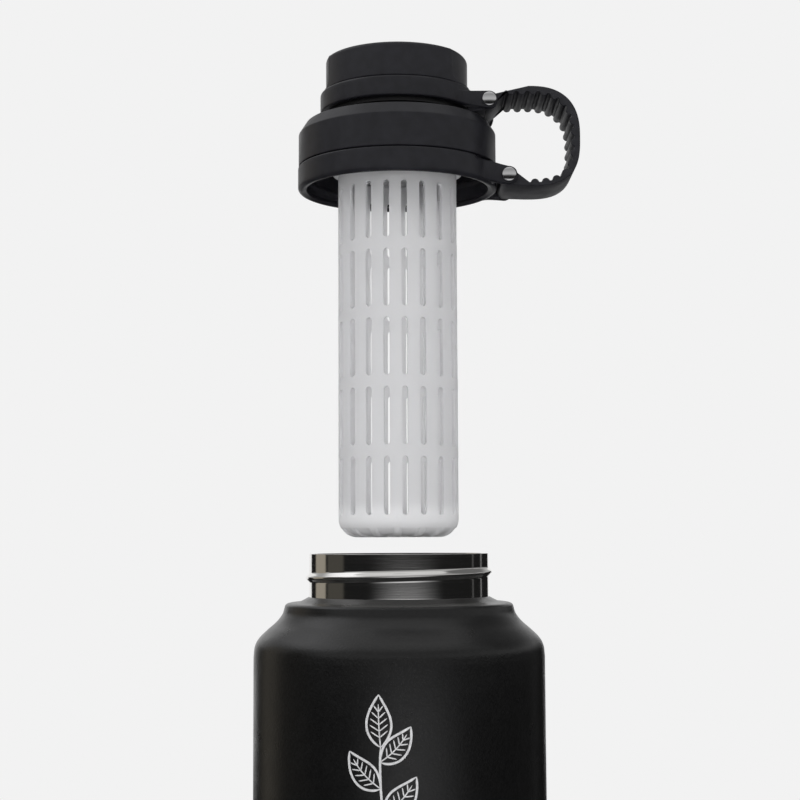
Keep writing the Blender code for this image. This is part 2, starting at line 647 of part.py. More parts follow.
def walk(points, steps):
    """Points and left-hand normals at even steps along a polyline, both ends included."""
    lengths = [math.dist(a, b) for a, b in zip(points, points[1:])]
    total = sum(lengths)
    found = []
    for k in steps:
        left = total * k
        for (a, b), length in zip(zip(points, points[1:]), lengths):
            if left <= length or (a, b) == (points[-2], points[-1]):
                along = left / length
                dx, dz = (b[0] - a[0]) / length, (b[1] - a[1]) / length
                found.append(((a[0] + (b[0] - a[0]) * along, a[1] + (b[1] - a[1]) * along), (-dz, dx)))
                break
            left -= length
    return found


def make_loop(lid):
    """The carry loop: one flexible band, ribbed inside, with a barrel at each end for its pivot."""
    inner_high = LOOP_TOP - BAND_THICKNESS
    inner_low = LOOP_BOTTOM + BAND_THIN
    inner_reach = LOOP_REACH - BAND_THICKNESS
    start_x = UPPER_PIVOT[0] + 2 * BARREL_RADIUS
    valley = [(start_x, inner_high), *rounded_side(inner_low, inner_high, inner_reach, LOOP_STEPS)]
    ribs = [(k + 0.5 + offset) / RIB_COUNT for k in range(RIB_COUNT) for offset, _ in RIB_SHARES]
    lifts = [lift * RIB_HEIGHT for _ in range(RIB_COUNT) for _, lift in RIB_SHARES]
    inside = [valley[0]]
    for (point, normal), lift in zip(walk(valley, ribs), lifts):
        inside.append((point[0] - normal[0] * lift, point[1] - normal[1] * lift))
    inside.append(valley[-1])

    upper_low = tangent(inside[0], UPPER_PIVOT, BARREL_RADIUS, 1)
    lower_high = tangent(inside[-1], LOWER_PIVOT, BARREL_RADIUS, -1)
    top = (LOOP_CENTRE, LOOP_TOP)
    upper_high = tangent(top, UPPER_PIVOT, BARREL_RADIUS, -1)
    bottom = (LOOP_CENTRE, LOOP_BOTTOM)
    lower_low = tangent(bottom, LOWER_PIVOT, BARREL_RADIUS, 1)
    outside = rounded_side(LOOP_BOTTOM, LOOP_TOP, LOOP_REACH, LOOP_STEPS // 2)
    upper_end = angle_on(UPPER_PIVOT, upper_low) % 360.0
    upper_start = angle_on(UPPER_PIVOT, upper_high)
    upper_barrel = arc(UPPER_PIVOT, BARREL_RADIUS, upper_end, upper_start, EYE_STEPS)
    lower_end = angle_on(LOWER_PIVOT, lower_low) % 360.0
    lower_start = angle_on(LOWER_PIVOT, lower_high)
    lower_barrel = arc(LOWER_PIVOT, BARREL_RADIUS, lower_end, lower_start, EYE_STEPS)
    outline = [*outside, *lower_barrel, *reversed(inside), *upper_barrel]
    holes = [circle(UPPER_PIVOT, PIN_HOLE), circle(LOWER_PIVOT, PIN_HOLE)]
    plate("loop_handle", [outline, *holes], LOOP_WIDTH, 0.0, lid, LOOP_BLACK)


def make_rivet(name, pivot, parent):
    """A two-part rivet: a domed stud from the front, pressed into a domed socket from the back.

    The socket's tube passes through both arms and the loop's barrel, and is the pin they turn on.
    """
    seat = ARM_OUTSIDE + FIT_GAP
    dome = [(HEAD_RADIUS * a, seat + HEAD_HEIGHT * b) for a, b in DOME_SHARES]
    floor = PIN_RADIUS - ARM_OUTSIDE
    stud = [*dome, (STUD_RADIUS, seat), (STUD_RADIUS, floor + FIT_GAP), (0.0, floor + FIT_GAP)]
    bore = STUD_RADIUS + FIT_GAP
    socket = [(0.0, floor), (bore, floor), (bore, ARM_OUTSIDE), (PIN_RADIUS, ARM_OUTSIDE)]
    socket += [(PIN_RADIUS, -seat), *[(radius, -height) for radius, height in reversed(dome)]]
    for word, outline in (("stud", stud), ("socket", socket)):
        half = turned(f"{name}_{word}", outline, parent, CHROME, PIN_STEPS, closed=False)
        half.location = (pivot[0], 0.0, pivot[1])
        half.rotation_euler = (math.pi / 2, 0.0, 0.0)


def infuser_rows():
    """The infuser's wall from top to bottom: (radius, height, whether slots lie under this row)."""
    rows = [(INFUSER_NECK_RADIUS, INFUSER_TOP, False)]
    shoulder = SLEEVE_LOW - INFUSER_SHOULDER
    rows.append((INFUSER_NECK_RADIUS, shoulder, False))
    flange_low = shoulder - FLANGE_HEIGHT
    rows.append((INFUSER_RADIUS + FLANGE_PROUD, shoulder, False))
    rows.append((INFUSER_RADIUS + FLANGE_PROUD, flange_low, False))
    rows.append((INFUSER_RADIUS, flange_low - FLANGE_TAPER, False))
    for k in range(SLOT_ROWS):
        high = -FIRST_SLOT_DROP - k * SLOT_PITCH
        rows.append((INFUSER_RADIUS, high, True))
        rows.append((INFUSER_RADIUS, high - SLOT_LENGTH, False))
    corner = (INFUSER_RADIUS - INFUSER_CORNER, INFUSER_CORNER - INFUSER_LENGTH)
    rows += [(x, z, False) for x, z in arc(corner, INFUSER_CORNER, 0.0, -90.0, CORNER_STEPS)]
    rows.append((0.0, -INFUSER_LENGTH, False))
    return rows


def make_infuser(seal, infuser):
    """The infuser: a slotted cup, wrapped from a flat grid, that hangs in the lid's sleeve."""
    rows = infuser_rows()
    columns = 2 * SLOT_COLUMNS
    half_slot = math.asin(SLOT_WIDTH / 2 / INFUSER_RADIUS)
    work = bmesh.new()
    bmesh.ops.create_grid(work, x_segments=columns, y_segments=len(rows) - 1, size=1.0)
    slots = []
    for face in work.faces:
        middle = face.calc_center_median()
        column = int((middle.x + 1.0) / 2 * columns)
        row = int((1.0 - middle.y) / 2 * (len(rows) - 1))
        if column % 2 == 0 and rows[row][2]:
            slots.append(face)
    bmesh.ops.delete(work, geom=slots, context="FACES")
    for point in work.verts:
        column = round((point.co.x + 1.0) / 2 * columns)
        row = round((1.0 - point.co.y) / 2 * (len(rows) - 1))
        radius, height, _ = rows[row]
        pitch = 2 * math.pi / SLOT_COLUMNS
        angle = FRONT + pitch / 2 + (column // 2) * pitch + (half_slot if column % 2 else -half_slot)
        point.co = (radius * math.cos(angle), radius * math.sin(angle), height)
    bmesh.ops.remove_doubles(work, verts=work.verts, dist=MERGE)
    bmesh.ops.recalc_face_normals(work, faces=work.faces)
    mesh = bpy.data.meshes.new("infuser_basket")
    work.to_mesh(mesh)
    work.free()
    basket = add_mesh("infuser_basket", mesh, infuser, FROSTED)
    wall = basket.modifiers.new("wall", "SOLIDIFY")
    wall.thickness = INFUSER_WALL
    wall.offset = -1.0
    wall.use_even_offset = True
    thread = ridge(
        "infuser_ridge", INFUSER_NECK_RADIUS, INFUSER_RIDGE_PROUD, INFUSER_RIDGE_RADIUS,
        INFUSER_LEAD, INFUSER_TURNS, infuser_ridge_middle(), infuser,
    )
    boolean(basket, thread, "UNION")

    low = INFUSER_TOP + FIT_GAP
    high = low + SEAL_HEIGHT
    outer = SLEEVE_BORE - RUN_GAP
    inner = INFUSER_NECK_RADIUS - 2 * INFUSER_WALL
    outline = [(inner, high), (outer, high), (outer, low), (inner, low)]
    turned("infuser_seal", outline, seal, SILICONE, RING_STEPS)


def main():
    """Build every piece."""
    root = joint_empty("bottle_base", None, 0.0)
    seal = joint_empty("lid_lift_axis", root, LID_BASE)
    lid = joint_empty("lid_turn_axis", seal, 0.0)
    ring = joint_empty("cap_rise_axis", lid, 0.0)
    cap = joint_empty("cap_turn_axis", ring, 0.0)
    infuser_seal = joint_empty("infuser_drop_axis", lid, 0.0)
    infuser = joint_empty("infuser_turn_axis", infuser_seal, 0.0)
    make_bottle(root)
    make_collar(lid)
    make_strap_ring(lid)
    make_gaskets(seal, cap)
    make_cap(ring, cap)
    make_loop(lid)
    make_rivet("lower_rivet", LOWER_PIVOT, lid)
    make_rivet("upper_rivet", UPPER_PIVOT, ring)
    make_infuser(infuser_seal, infuser)


main()
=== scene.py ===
# %% [markdown]
# # A steel bottle with its infuser lid lifted off
#
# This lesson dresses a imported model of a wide-mouth insulated bottle. The model is the fixed frame: it says
# where each piece sits and how it moves. Each cell below makes one piece as a fine surface that stands in
# for the plain solid of the same name, or one finish.
#
# Everything is in metres, +Z is up, and the bottle stands on the origin with its carry loop towards +X.

# %% Load the frame
import math

import bmesh
import bpy
import numpy as np
from mathutils import Matrix, Vector
from mathutils.geometry import tessellate_polygon


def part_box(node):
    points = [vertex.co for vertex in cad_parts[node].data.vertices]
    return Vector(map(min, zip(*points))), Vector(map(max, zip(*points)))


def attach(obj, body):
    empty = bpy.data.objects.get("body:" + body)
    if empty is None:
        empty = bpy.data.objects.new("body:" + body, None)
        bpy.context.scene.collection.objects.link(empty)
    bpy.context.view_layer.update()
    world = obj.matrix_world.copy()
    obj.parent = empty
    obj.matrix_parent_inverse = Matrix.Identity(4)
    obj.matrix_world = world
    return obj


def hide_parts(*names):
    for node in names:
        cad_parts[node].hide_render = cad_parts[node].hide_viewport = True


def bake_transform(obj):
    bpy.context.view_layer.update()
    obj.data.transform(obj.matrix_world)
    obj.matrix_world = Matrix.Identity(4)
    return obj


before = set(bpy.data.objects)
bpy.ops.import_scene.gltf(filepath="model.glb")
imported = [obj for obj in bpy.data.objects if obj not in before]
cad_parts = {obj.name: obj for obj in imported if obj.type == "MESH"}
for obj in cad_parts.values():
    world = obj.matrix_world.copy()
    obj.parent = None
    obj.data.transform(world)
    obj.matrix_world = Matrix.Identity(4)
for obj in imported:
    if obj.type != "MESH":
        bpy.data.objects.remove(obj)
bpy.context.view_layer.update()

# %% [markdown]
# ## Where the lid and the bottle are
#
# The bottle's sizes are measured from its base, and the lid's from the lid's lower edge. Both come from
# boxes of the frame, so the fine pieces follow it. The front of the object faces -Y.

# %% Places taken from the frame
FRONT = -math.pi / 2
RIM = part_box("inner_vessel")[1].z
BODY_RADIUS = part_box("outer_shell")[1].x
LID_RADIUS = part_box("lid_collar")[1].x
COLLAR_RISE = 0.0012      # lid's lower edge to the lowest face of the collar
LID_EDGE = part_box("lid_collar")[0].z - COLLAR_RISE
CAP_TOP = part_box("cap_shell")[1].z - LID_EDGE
CAP_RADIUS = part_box("cap_shell")[1].x
LOOP_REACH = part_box("loop_handle")[1].x


def pivot_of(rivet):
    """Where a rivet's axis runs, as x and the height over the lid's edge."""
    low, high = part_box(rivet)
    return (low.x + high.x) / 2, (low.z + high.z) / 2 - LID_EDGE


UPPER_PIVOT = pivot_of("upper_rivet_stud")
LOWER_PIVOT = pivot_of("lower_rivet_stud")
print("pivots", [round(v, 4) for v in UPPER_PIVOT + LOWER_PIVOT])
print("rim", round(RIM, 4), "lid edge", round(LID_EDGE, 4), "cap top", round(CAP_TOP, 4))

# %% [markdown]
# ## Surfaces from arrays
#
# Nearly every piece of a bottle is turned or extruded, so two kinds of surface make them all. A turned
# piece is a closed outline of radius and height, carried round the axis. A slab is a flat outline with
# holes, given a thickness and rounded edges. Both are worked out as whole arrays, and both need outlines
# with rounded corners, because real mouldings and real sheet steel have no sharp ones: it is the small
# round edge that catches the light.

# %% Arcs
def arc(centre, radius, start, end, count):
    """Points at even angles, in degrees, on an arc: centre + radius * (cos, sin)."""
    a = np.radians(np.linspace(start, end, count + 1))
    return np.stack([centre[0] + radius * np.cos(a), centre[1] + radius * np.sin(a)], axis=1)


def unit(v):
    """Vectors of length one along the last axis."""
    return v / np.maximum(np.linalg.norm(v, axis=-1, keepdims=True), 1e-12)


def smooth(x):
    """0 below 0, 1 above 1, and 3x^2 - 2x^3 between them."""
    x = np.clip(x, 0.0, 1.0)
    return x * x * (3 - 2 * x)


print("a quarter turn in two steps:", arc((0.0, 0.0), 1.0, 0.0, 90.0, 2).round(2).tolist())


# %% Rounded corners
def apart(points, closed=True, least=1e-7):
    """The points without those that fall on the one before them."""
    gap = np.linalg.norm(points - np.roll(points, 1, axis=0), axis=1)
    keep = gap > least
    if not closed:
        keep[0] = True
    return points[keep]


def rounded(corners, steps=5):
    """A closed outline from corners (x, y, radius), each corner swapped for an arc tangent to both sides.

    The arc starts radius / tan(half the corner's angle) before the corner, and its centre lies on the
    bisector, radius / sin(half the angle) away.
    """
    corners = np.array(corners, float)
    spot, radius = corners[:, :2], corners[:, 2:]
    back = unit(np.roll(spot, 1, axis=0) - spot)
    on = unit(np.roll(spot, -1, axis=0) - spot)
    half = np.arccos(np.clip((back * on).sum(1, keepdims=True), -1.0, 1.0)) / 2
    cut = radius / np.tan(half)
    centre = spot + unit(back + on) * radius / np.sin(half)
    first, last = spot + back * cut - centre, spot + on * cut - centre
    share = np.linspace(0.0, 1.0, steps + 1)[:, None, None]
    bend = unit(first * (1 - share) + last * share) * radius + centre
    return apart(bend.transpose(1, 0, 2).reshape(-1, 2))


square = rounded([(0, 0, 0.1), (0, 1, 0.1), (1, 1, 0.1), (1, 0, 0.1)])
print("a square with round corners:", len(square), "points")


# %% Curves and extra points
def smooth_path(points, steps=8):
    """A curve through points: a cubic between each two, whose slope at each point is half the step from
    the point before it to the point after it."""
    p = np.array(points, float)
    p = np.vstack([2 * p[0] - p[1], p, 2 * p[-1] - p[-2]])
    t = np.linspace(0.0, 1.0, steps, endpoint=False)[:, None, None]
    a, b, c, d = p[:-3], p[1:-2], p[2:-1], p[3:]
    square, cube = 2 * a - 5 * b + 4 * c - d, 3 * b - a - 3 * c + d
    curve = 0.5 * (2 * b + (c - a) * t + square * t**2 + cube * t**3)
    return np.vstack([curve.transpose(1, 0, 2).reshape(-1, 2), p[-2:-1]])


def finer(points, longest, closed=True):
    """The outline with extra points on each side that is longer than a given length."""
    ends = np.roll(points, -1, axis=0) if closed else points[1:]
    starts = points if closed else points[:-1]
    made = []
    for start, end in zip(starts, ends):
        count = max(1, math.ceil(np.linalg.norm(end - start) / longest))
        made.append(start + (end - start) * np.linspace(0, 1, count, endpoint=False)[:, None])
    if not closed:
        made.append(points[-1:])
    return np.vstack(made)


print("a curve through three points:", len(smooth_path([(0, 0), (1, 1), (2, 0)])), "points")


# %% Sheets
def side_normals(points, closed=True):
    """Unit normals to the right of the way the points run, from the chord between both neighbours."""
    if closed:
        run = np.roll(points, -1, axis=0) - np.roll(points, 1, axis=0)
    else:
        run = np.gradient(points, axis=0)
    run = unit(run)
    return np.stack([run[:, 1], -run[:, 0]], axis=1)


def sheet_outline(curve, wall):
    """The closed outline of a sheet whose outer face is the curve: the curve, then itself moved in by
    the wall's thickness, backwards. The curve runs down the outer side."""
    inner = curve + side_normals(curve, closed=False) * wall
    return np.vstack([curve, inner[::-1]])


print("a sheet along ten points:", len(sheet_outline(np.linspace((1, 1), (1, 0), 10), 0.1)), "points")


# %% Faces of a grid
def grid_faces(rows, columns, wrap_rows, wrap_columns):
    """Quads between neighbouring rows and columns of a grid of points, numbered row by row."""
    i = np.arange(rows if wrap_rows else rows - 1)[:, None]
    j = np.arange(columns if wrap_columns else columns - 1)[None, :]
    below, right = (i + 1) % rows, (j + 1) % columns
    corners = [i * columns + j, below * columns + j, below * columns + right, i * columns + right]
    return np.stack([c + 0 * i + 0 * j for c in corners], axis=-1).reshape(-1, 4)


print("three rings of four points:", len(grid_faces(3, 4, False, True)), "faces")

# %% Meshes
SAME_PLACE = 2e-7
CREASE = 35.0


def weld(mesh, distance=SAME_PLACE):
    """Merge points that coincide, such as those of a pole, and drop faces that collapse."""
    work = bmesh.new()
    work.from_mesh(mesh)
    bmesh.ops.remove_doubles(work, verts=work.verts, dist=distance)
    bmesh.ops.dissolve_degenerate(work, edges=work.edges, dist=distance)
    work.to_mesh(mesh)
    work.free()


def put_mesh(name, points, faces):
    """An object at the origin from an array of points and lists of faces, smooth but for sharp edges."""
    mesh = bpy.data.meshes.new(name)
    mesh.from_pydata(points.reshape(-1, 3).tolist(), [], faces)
    weld(mesh)
    mesh.shade_smooth()
    mesh.set_sharp_from_angle(angle=math.radians(CREASE))
    made = bpy.data.objects.new(name, mesh)
    bpy.context.scene.collection.objects.link(made)
    return made


print("edges sharper than", CREASE, "degrees stay sharp")

# %% Turned pieces
TURN_STEPS = 240


def lathe(name, outline, lifts=(), drops=(), steps=TURN_STEPS, closed=True):
    """A turned piece: (r cos a, r sin a, z) for each outline point and each angle a.

    The outline runs down the outer side. Each lift is a function of radius, height and angle that says
    how far the surface stands out there, as a thread does, and each drop says how far it sinks.
    """
    angle = FRONT + 2 * np.pi * np.arange(steps) / steps
    radius = np.repeat(outline[:, :1], steps, axis=1)
    height = np.repeat(outline[:, 1:], steps, axis=1)
    for drop in drops:
        height = height - drop(radius, height, angle)
    for lift in lifts:
        radius = radius + lift(radius, height, angle)
    points = np.stack([radius * np.cos(angle), radius * np.sin(angle), height], axis=-1)
    return put_mesh(name, points, grid_faces(len(outline), steps, closed, True).tolist())


print("a turned piece goes round in", TURN_STEPS, "steps, unless it says otherwise")

# %% Slabs
EDGE_STEPS = 4


def slab(name, outlines, low, high, edge, place, levels=None):
    """A flat outline, with the later outlines as holes, from a low to a high level with rounded edges.

    Each wall is the outline moved inwards by edge * (1 - sin a) at the height edge * (1 - cos a) from its
    end. place turns (u, v, level) into (x, y, z), and levels may lift or lower the ends at each (u, v).
    """
    loops, walls, faces, tops, bottoms, first = [], [], [], [], [], 0
    a = np.linspace(0.0, np.pi / 2, EDGE_STEPS + 1)
    inset = np.concatenate([edge * (1 - np.sin(a)), edge * (1 - np.sin(a[::-1]))])[:, None, None]
    drop = np.concatenate([edge * (1 - np.cos(a)), -edge * (1 - np.cos(a[::-1]))])[:, None]
    upper = np.repeat([1.0, 0.0], EDGE_STEPS + 1)[:, None]
    for k, loop in enumerate(outlines):
        x, y = loop.T
        turns_left = (x * np.roll(y, -1) - np.roll(x, -1) * y).sum() > 0
        loop = loop if turns_left == (k == 0) else loop[::-1]
        spots = loop - side_normals(loop) * inset
        ends = levels(loop) if levels else (np.full(len(loop), low), np.full(len(loop), high))
        level = ends[0] * (1 - upper) + ends[1] * upper - drop
        walls.append(np.dstack([spots, level]).reshape(-1, 3))
        faces += (grid_faces(len(inset), len(loop), False, True) + first).tolist()
        tops.append(first + np.arange(len(loop)))
        bottoms.append(first + (len(inset) - 1) * len(loop) + np.arange(len(loop)))
        loops.append([(u, v, 0.0) for u, v in spots[0].tolist()])
        first += len(inset) * len(loop)
    points = np.vstack(walls)
    caps = np.array(tessellate_polygon(loops))
    ends = np.concatenate(tops)[caps]
    a, b, c = points[ends[:, 0], :2], points[ends[:, 1], :2], points[ends[:, 2], :2]
    turned = (b - a)[:, 0] * (c - a)[:, 1] - (b - a)[:, 1] * (c - a)[:, 0] < 0
    caps[turned] = caps[turned][:, ::-1]
    faces += np.concatenate(tops)[caps].tolist() + np.concatenate(bottoms)[caps[:, ::-1]].tolist()
    return put_mesh(name, place(points), faces)


def lying(points):
    """A slab whose outline is seen from above: (u, v, level) is (x, y, z)."""
    return points


def standing(points):
    """A slab whose outline is seen from the front: (u, v, level) is (x, -level, z)."""
    return np.stack([points[:, 0], -points[:, 2], points[:, 1]], axis=1)


print("a slab's round edge has", EDGE_STEPS, "steps")

# %% [markdown]
# ## Threads
#
# The bottle has three screw threads: neck to lid, spout to cap and lid to infuser. A thread is a ridge
# that climbs its wall by one lead a turn. For a point of the wall at a turn t from the front and a height
# z, the nearest winding lies round((z - middle) / lead - t) turns away, and the ridge's height is a cosine
# bump of the distance left over. The ends fade out over a fraction of a turn.

# %% Thread
FADE_TURNS = 0.07
ON_WALL = 1e-6


def thread(wall, low, high, lead, turns, middle, half_width, proud, inward=False):
    """A lift for lathe: the ridge of a right-handed thread on the wall of a given radius."""
    def lift(radius, height, angle):
        turn = (angle - FRONT) / (2 * np.pi)
        turn = turn - np.round(turn)
        way = (height - middle) / lead
        along = np.round(way - turn) + turn
        offset = np.clip((way - along) * lead / half_width, -1.0, 1.0)
        fade = smooth((turns / 2 - np.abs(along)) / FADE_TURNS)
        there = (np.abs(radius - wall) < ON_WALL) & (height > low) & (height < high)
        return there * fade * (0.5 + 0.5 * np.cos(np.pi * offset)) * (-proud if inward else proud)
    return lift


print("a thread's ends fade out over", FADE_TURNS, "of a turn")

# %% [markdown]
# ## The camera
#
# The photograph was taken a little above the middle of the object, tilted up by five degrees, with a
# moderate telephoto lens. The lens could be guessed, but the ellipses of the lid and the neck tell it:
# their flatness gives each edge's height over the camera, and their widths give the distance. It is 72 mm
# on a 36 mm sensor, 0.565 m from the bottle's axis, rolled by a quarter of a degree.

# %% Camera
CAMERA_DISTANCE = 0.565
CAMERA_HEIGHT = 0.2497
CAMERA_TILT = math.radians(5.0)
CAMERA_ROLL = math.radians(0.25)
CAMERA_ASIDE = 0.00043
CAMERA_LENS, SENSOR_WIDTH = 72.0, 36.0
camera = bpy.data.objects.new("camera", bpy.data.cameras.new("camera"))
camera.data.lens = CAMERA_LENS
camera.data.sensor_width = SENSOR_WIDTH
camera.data.clip_start = 0.01
camera.location = (CAMERA_ASIDE, -CAMERA_DISTANCE, CAMERA_HEIGHT)
camera.rotation_euler = (math.pi / 2 + CAMERA_TILT, CAMERA_ROLL, 0.0)
bpy.context.scene.collection.objects.link(camera)
bpy.context.scene.camera = camera
bpy.context.scene.view_settings.view_transform = "Standard"
print("camera:", CAMERA_LENS, "mm lens at", [round(v, 4) for v in camera.location])

# %% [markdown]
# ## Finishes
#
# Each finish is a Principled shader. What is the same all over sits on the shader's own sockets. Noise on
# object coordinates varies the colour and the roughness a little, and a fine bump gives each surface its
# own touch. Pictures of surfaces could do the same, but noise has no seams and needs no unwrapping. A few
# helpers add the nodes, so that each finish is a short list of what it does.

# %% Material helpers
NOISE_LOW, NOISE_HIGH = 0.3, 0.7    # most of a noise lies between these


def tree(owner):
    """The nodes and the links of a material or a world."""
    return owner.node_tree.nodes, owner.node_tree.links


def add_node(nodes, kind, **sockets):
    """A new shader node. Its sockets go by name, with _ for a space."""
    made = nodes.new("ShaderNode" + kind)
    for socket, value in sockets.items():
        made.inputs[socket.replace("_", " ")].default_value = value
    return made


def finish(name, colour, roughness, **sockets):
    """A Principled material. Other sockets go by name, with _ for a space."""
    made = bpy.data.materials.new(name)
    made.use_nodes = True
    shader = made.node_tree.nodes["Principled BSDF"]
    shader.inputs["Base Color"].default_value = (*colour, 1.0)
    shader.inputs["Roughness"].default_value = roughness
    for socket, value in sockets.items():
        shader.inputs[socket.replace("_", " ")].default_value = value
    return made


def noise(material, scale, detail=3.0, stretch=(1.0, 1.0, 1.0)):
    """A noise texture on object coordinates, its lumps about 1 / scale metres across."""
    nodes, links = tree(material)
    where = add_node(nodes, "TexCoord")
    sized = add_node(nodes, "Mapping", Scale=stretch)
    made = add_node(nodes, "TexNoise", Scale=scale, Detail=detail)
    links.new(where.outputs["Object"], sized.inputs["Vector"])
    links.new(sized.outputs["Vector"], made.inputs["Vector"])
    return made.outputs["Fac"]


def height_share(material, low, high):
    """How far up a point lies between two heights on object coordinates, from 0 to 1."""
    nodes, links = tree(material)
    where, parts = add_node(nodes, "TexCoord"), add_node(nodes, "SeparateXYZ")
    share = add_node(nodes, "MapRange", From_Min=low, From_Max=high)
    links.new(where.outputs["Object"], parts.inputs["Vector"])
    links.new(parts.outputs["Z"], share.inputs["Value"])
    return share.outputs["Result"]


def vary(material, fac, socket, low, high):
    """Let a factor run a number socket from one value to another."""
    nodes, links = tree(material)
    span = add_node(nodes, "MapRange", From_Min=NOISE_LOW, From_Max=NOISE_HIGH, To_Min=low, To_Max=high)
    links.new(fac, span.inputs["Value"])
    links.new(span.outputs["Result"], nodes["Principled BSDF"].inputs[socket])


def tint(material, fac, first, second):
    """Let a factor run the colour from one to another."""
    nodes, links = tree(material)
    ramp = add_node(nodes, "ValToRGB")
    for stop, place, colour in zip(ramp.color_ramp.elements, (NOISE_LOW, NOISE_HIGH), (first, second)):
        stop.position = place
        stop.color = (*colour, 1.0)
    links.new(fac, ramp.inputs["Fac"])
    links.new(ramp.outputs["Color"], nodes["Principled BSDF"].inputs["Base Color"])


def bump(material, fac, height):
    """Let a factor raise the surface, by a height in metres."""
    nodes, links = tree(material)
    made = add_node(nodes, "Bump", Strength=1.0, Distance=height)
    links.new(fac, made.inputs["Height"])
    links.new(made.outputs["Normal"], nodes["Principled BSDF"].inputs["Normal"])


print("helpers: noise and height drive a finish's numbers, colour and relief")

# %% [markdown]
# ## The powder coat
#
# The bottle's paint is a powder that is sprayed on dry and melted in an oven. It sets matte, with a faint
# orange peel. A flat dark colour would look like card, so two noises break it up: one, a millimetre across,
# in the colour, and a larger one in the roughness. The peel is a bump of 0.06 mm.

# %% Powder coat
POWDER_COAT = finish("powder_coat", (0.004, 0.004, 0.0041), 0.3, Specular_IOR_Level=0.55)
tint(POWDER_COAT, noise(POWDER_COAT, 900.0), (0.0030, 0.0030, 0.0031), (0.0052, 0.0052, 0.0053))
vary(POWDER_COAT, noise(POWDER_COAT, 140.0), "Roughness", 0.27, 0.33)
bump(POWDER_COAT, noise(POWDER_COAT, 1200.0, detail=5.0), 0.00006)
print(POWDER_COAT.name, len(POWDER_COAT.node_tree.nodes), "nodes")

# %% [markdown]
# ## The steels
#
# The neck is polished bright, the vessel is brushed, the base is spun and the rivets are plated. All are
# one metal shader with its own roughness. Polishing and brushing leave fine rings round the axis, so the
# noise is squeezed along the height. An anisotropic shader would smear the light too, but it needs
# tangents, and the rings do as well at this size.

# %% Steels
NECK_STEEL = finish("polished_neck_steel", (0.84, 0.83, 0.81), 0.1, Metallic=1.0)
vary(NECK_STEEL, noise(NECK_STEEL, 60.0, stretch=(1.0, 1.0, 40.0)), "Roughness", 0.07, 0.12)
bump(NECK_STEEL, noise(NECK_STEEL, 90.0, stretch=(1.0, 1.0, 60.0)), 0.000004)

VESSEL_STEEL = finish("brushed_vessel_steel", (0.55, 0.54, 0.53), 0.3, Metallic=1.0)
vary(VESSEL_STEEL, noise(VESSEL_STEEL, 60.0, stretch=(1.0, 1.0, 30.0)), "Roughness", 0.24, 0.36)
bump(VESSEL_STEEL, noise(VESSEL_STEEL, 90.0, stretch=(1.0, 1.0, 40.0)), 0.00001)

BASE_STEEL = finish("spun_base_steel", (0.5, 0.49, 0.48), 0.27, Metallic=1.0)
vary(BASE_STEEL, noise(BASE_STEEL, 200.0), "Roughness", 0.22, 0.34)
bump(BASE_STEEL, noise(BASE_STEEL, 700.0), 0.000006)

CHROME = finish("bright_rivet_chrome", (0.82, 0.82, 0.83), 0.1, Metallic=1.0)
vary(CHROME, noise(CHROME, 900.0), "Roughness", 0.07, 0.14)
print("steels:", NECK_STEEL.name, VESSEL_STEEL.name, BASE_STEEL.name, CHROME.name)

# %% [markdown]
# ## The plastics and the rest
#
# The lid, the cap and the loop are black mouldings with the fine grain of a spark-eroded mould. The infuser
# is frosted: light goes into it and comes out scattered. Real scattering inside the wall is slow to render,
# so the shader mixes a rough transmission of low index with a pale surface. Towards its foot the height
# brings the transmission down and the colour up: painted light for the foot, which faces the dark bottle
# under it.

# %% Plastics
LID_PLASTIC = finish("lid_plastic", (0.011, 0.011, 0.0144), 0.4, Specular_IOR_Level=0.42)
tint(LID_PLASTIC, noise(LID_PLASTIC, 300.0), (0.009, 0.009, 0.01152), (0.013, 0.013, 0.0168))
vary(LID_PLASTIC, noise(LID_PLASTIC, 90.0), "Roughness", 0.34, 0.46)
bump(LID_PLASTIC, noise(LID_PLASTIC, 2600.0, detail=2.0), 0.000015)

CAP_PLASTIC = finish("cap_plastic", (0.012, 0.012, 0.0156), 0.42, Specular_IOR_Level=0.42)
tint(CAP_PLASTIC, noise(CAP_PLASTIC, 300.0), (0.01, 0.01, 0.01272), (0.014, 0.014, 0.018))
vary(CAP_PLASTIC, noise(CAP_PLASTIC, 90.0), "Roughness", 0.36, 0.48)
bump(CAP_PLASTIC, noise(CAP_PLASTIC, 2600.0, detail=2.0), 0.00002)

LINER_PLASTIC = finish("liner_plastic", (0.008, 0.008, 0.0085), 0.35, Specular_IOR_Level=0.4)
bump(LINER_PLASTIC, noise(LINER_PLASTIC, 1800.0), 0.00001)

LOOP_PLASTIC = finish("loop_plastic", (0.014, 0.014, 0.018), 0.5, Specular_IOR_Level=0.42)
tint(LOOP_PLASTIC, noise(LOOP_PLASTIC, 350.0), (0.012, 0.012, 0.015), (0.018, 0.018, 0.0222))
vary(LOOP_PLASTIC, noise(LOOP_PLASTIC, 120.0), "Roughness", 0.44, 0.56)
bump(LOOP_PLASTIC, noise(LOOP_PLASTIC, 2200.0), 0.000025)

FROST = (0.785, 0.785, 0.795)
# The foot's paler colour and lower transmission are painted light: they brighten the foot that the lamps
# hardly reach.
FOOT_FROST_PAINTED_LIGHT = (0.86, 0.86, 0.87)
FROSTED = finish("frosted_infuser_plastic", FROST, 0.55, Transmission_Weight=0.6, IOR=1.25)
PAINTED_FOOT_LOW, PAINTED_FOOT_HIGH = 0.2570, 0.2650     # heights over which the painted light of the foot fades out
over_painted_foot = height_share(FROSTED, PAINTED_FOOT_LOW, PAINTED_FOOT_HIGH)
tint(FROSTED, over_painted_foot, FOOT_FROST_PAINTED_LIGHT, FROST)
vary(FROSTED, over_painted_foot, "Transmission Weight", 0.35, 0.6)
vary(FROSTED, noise(FROSTED, 160.0), "Roughness", 0.5, 0.62)
bump(FROSTED, noise(FROSTED, 900.0), 0.00002)

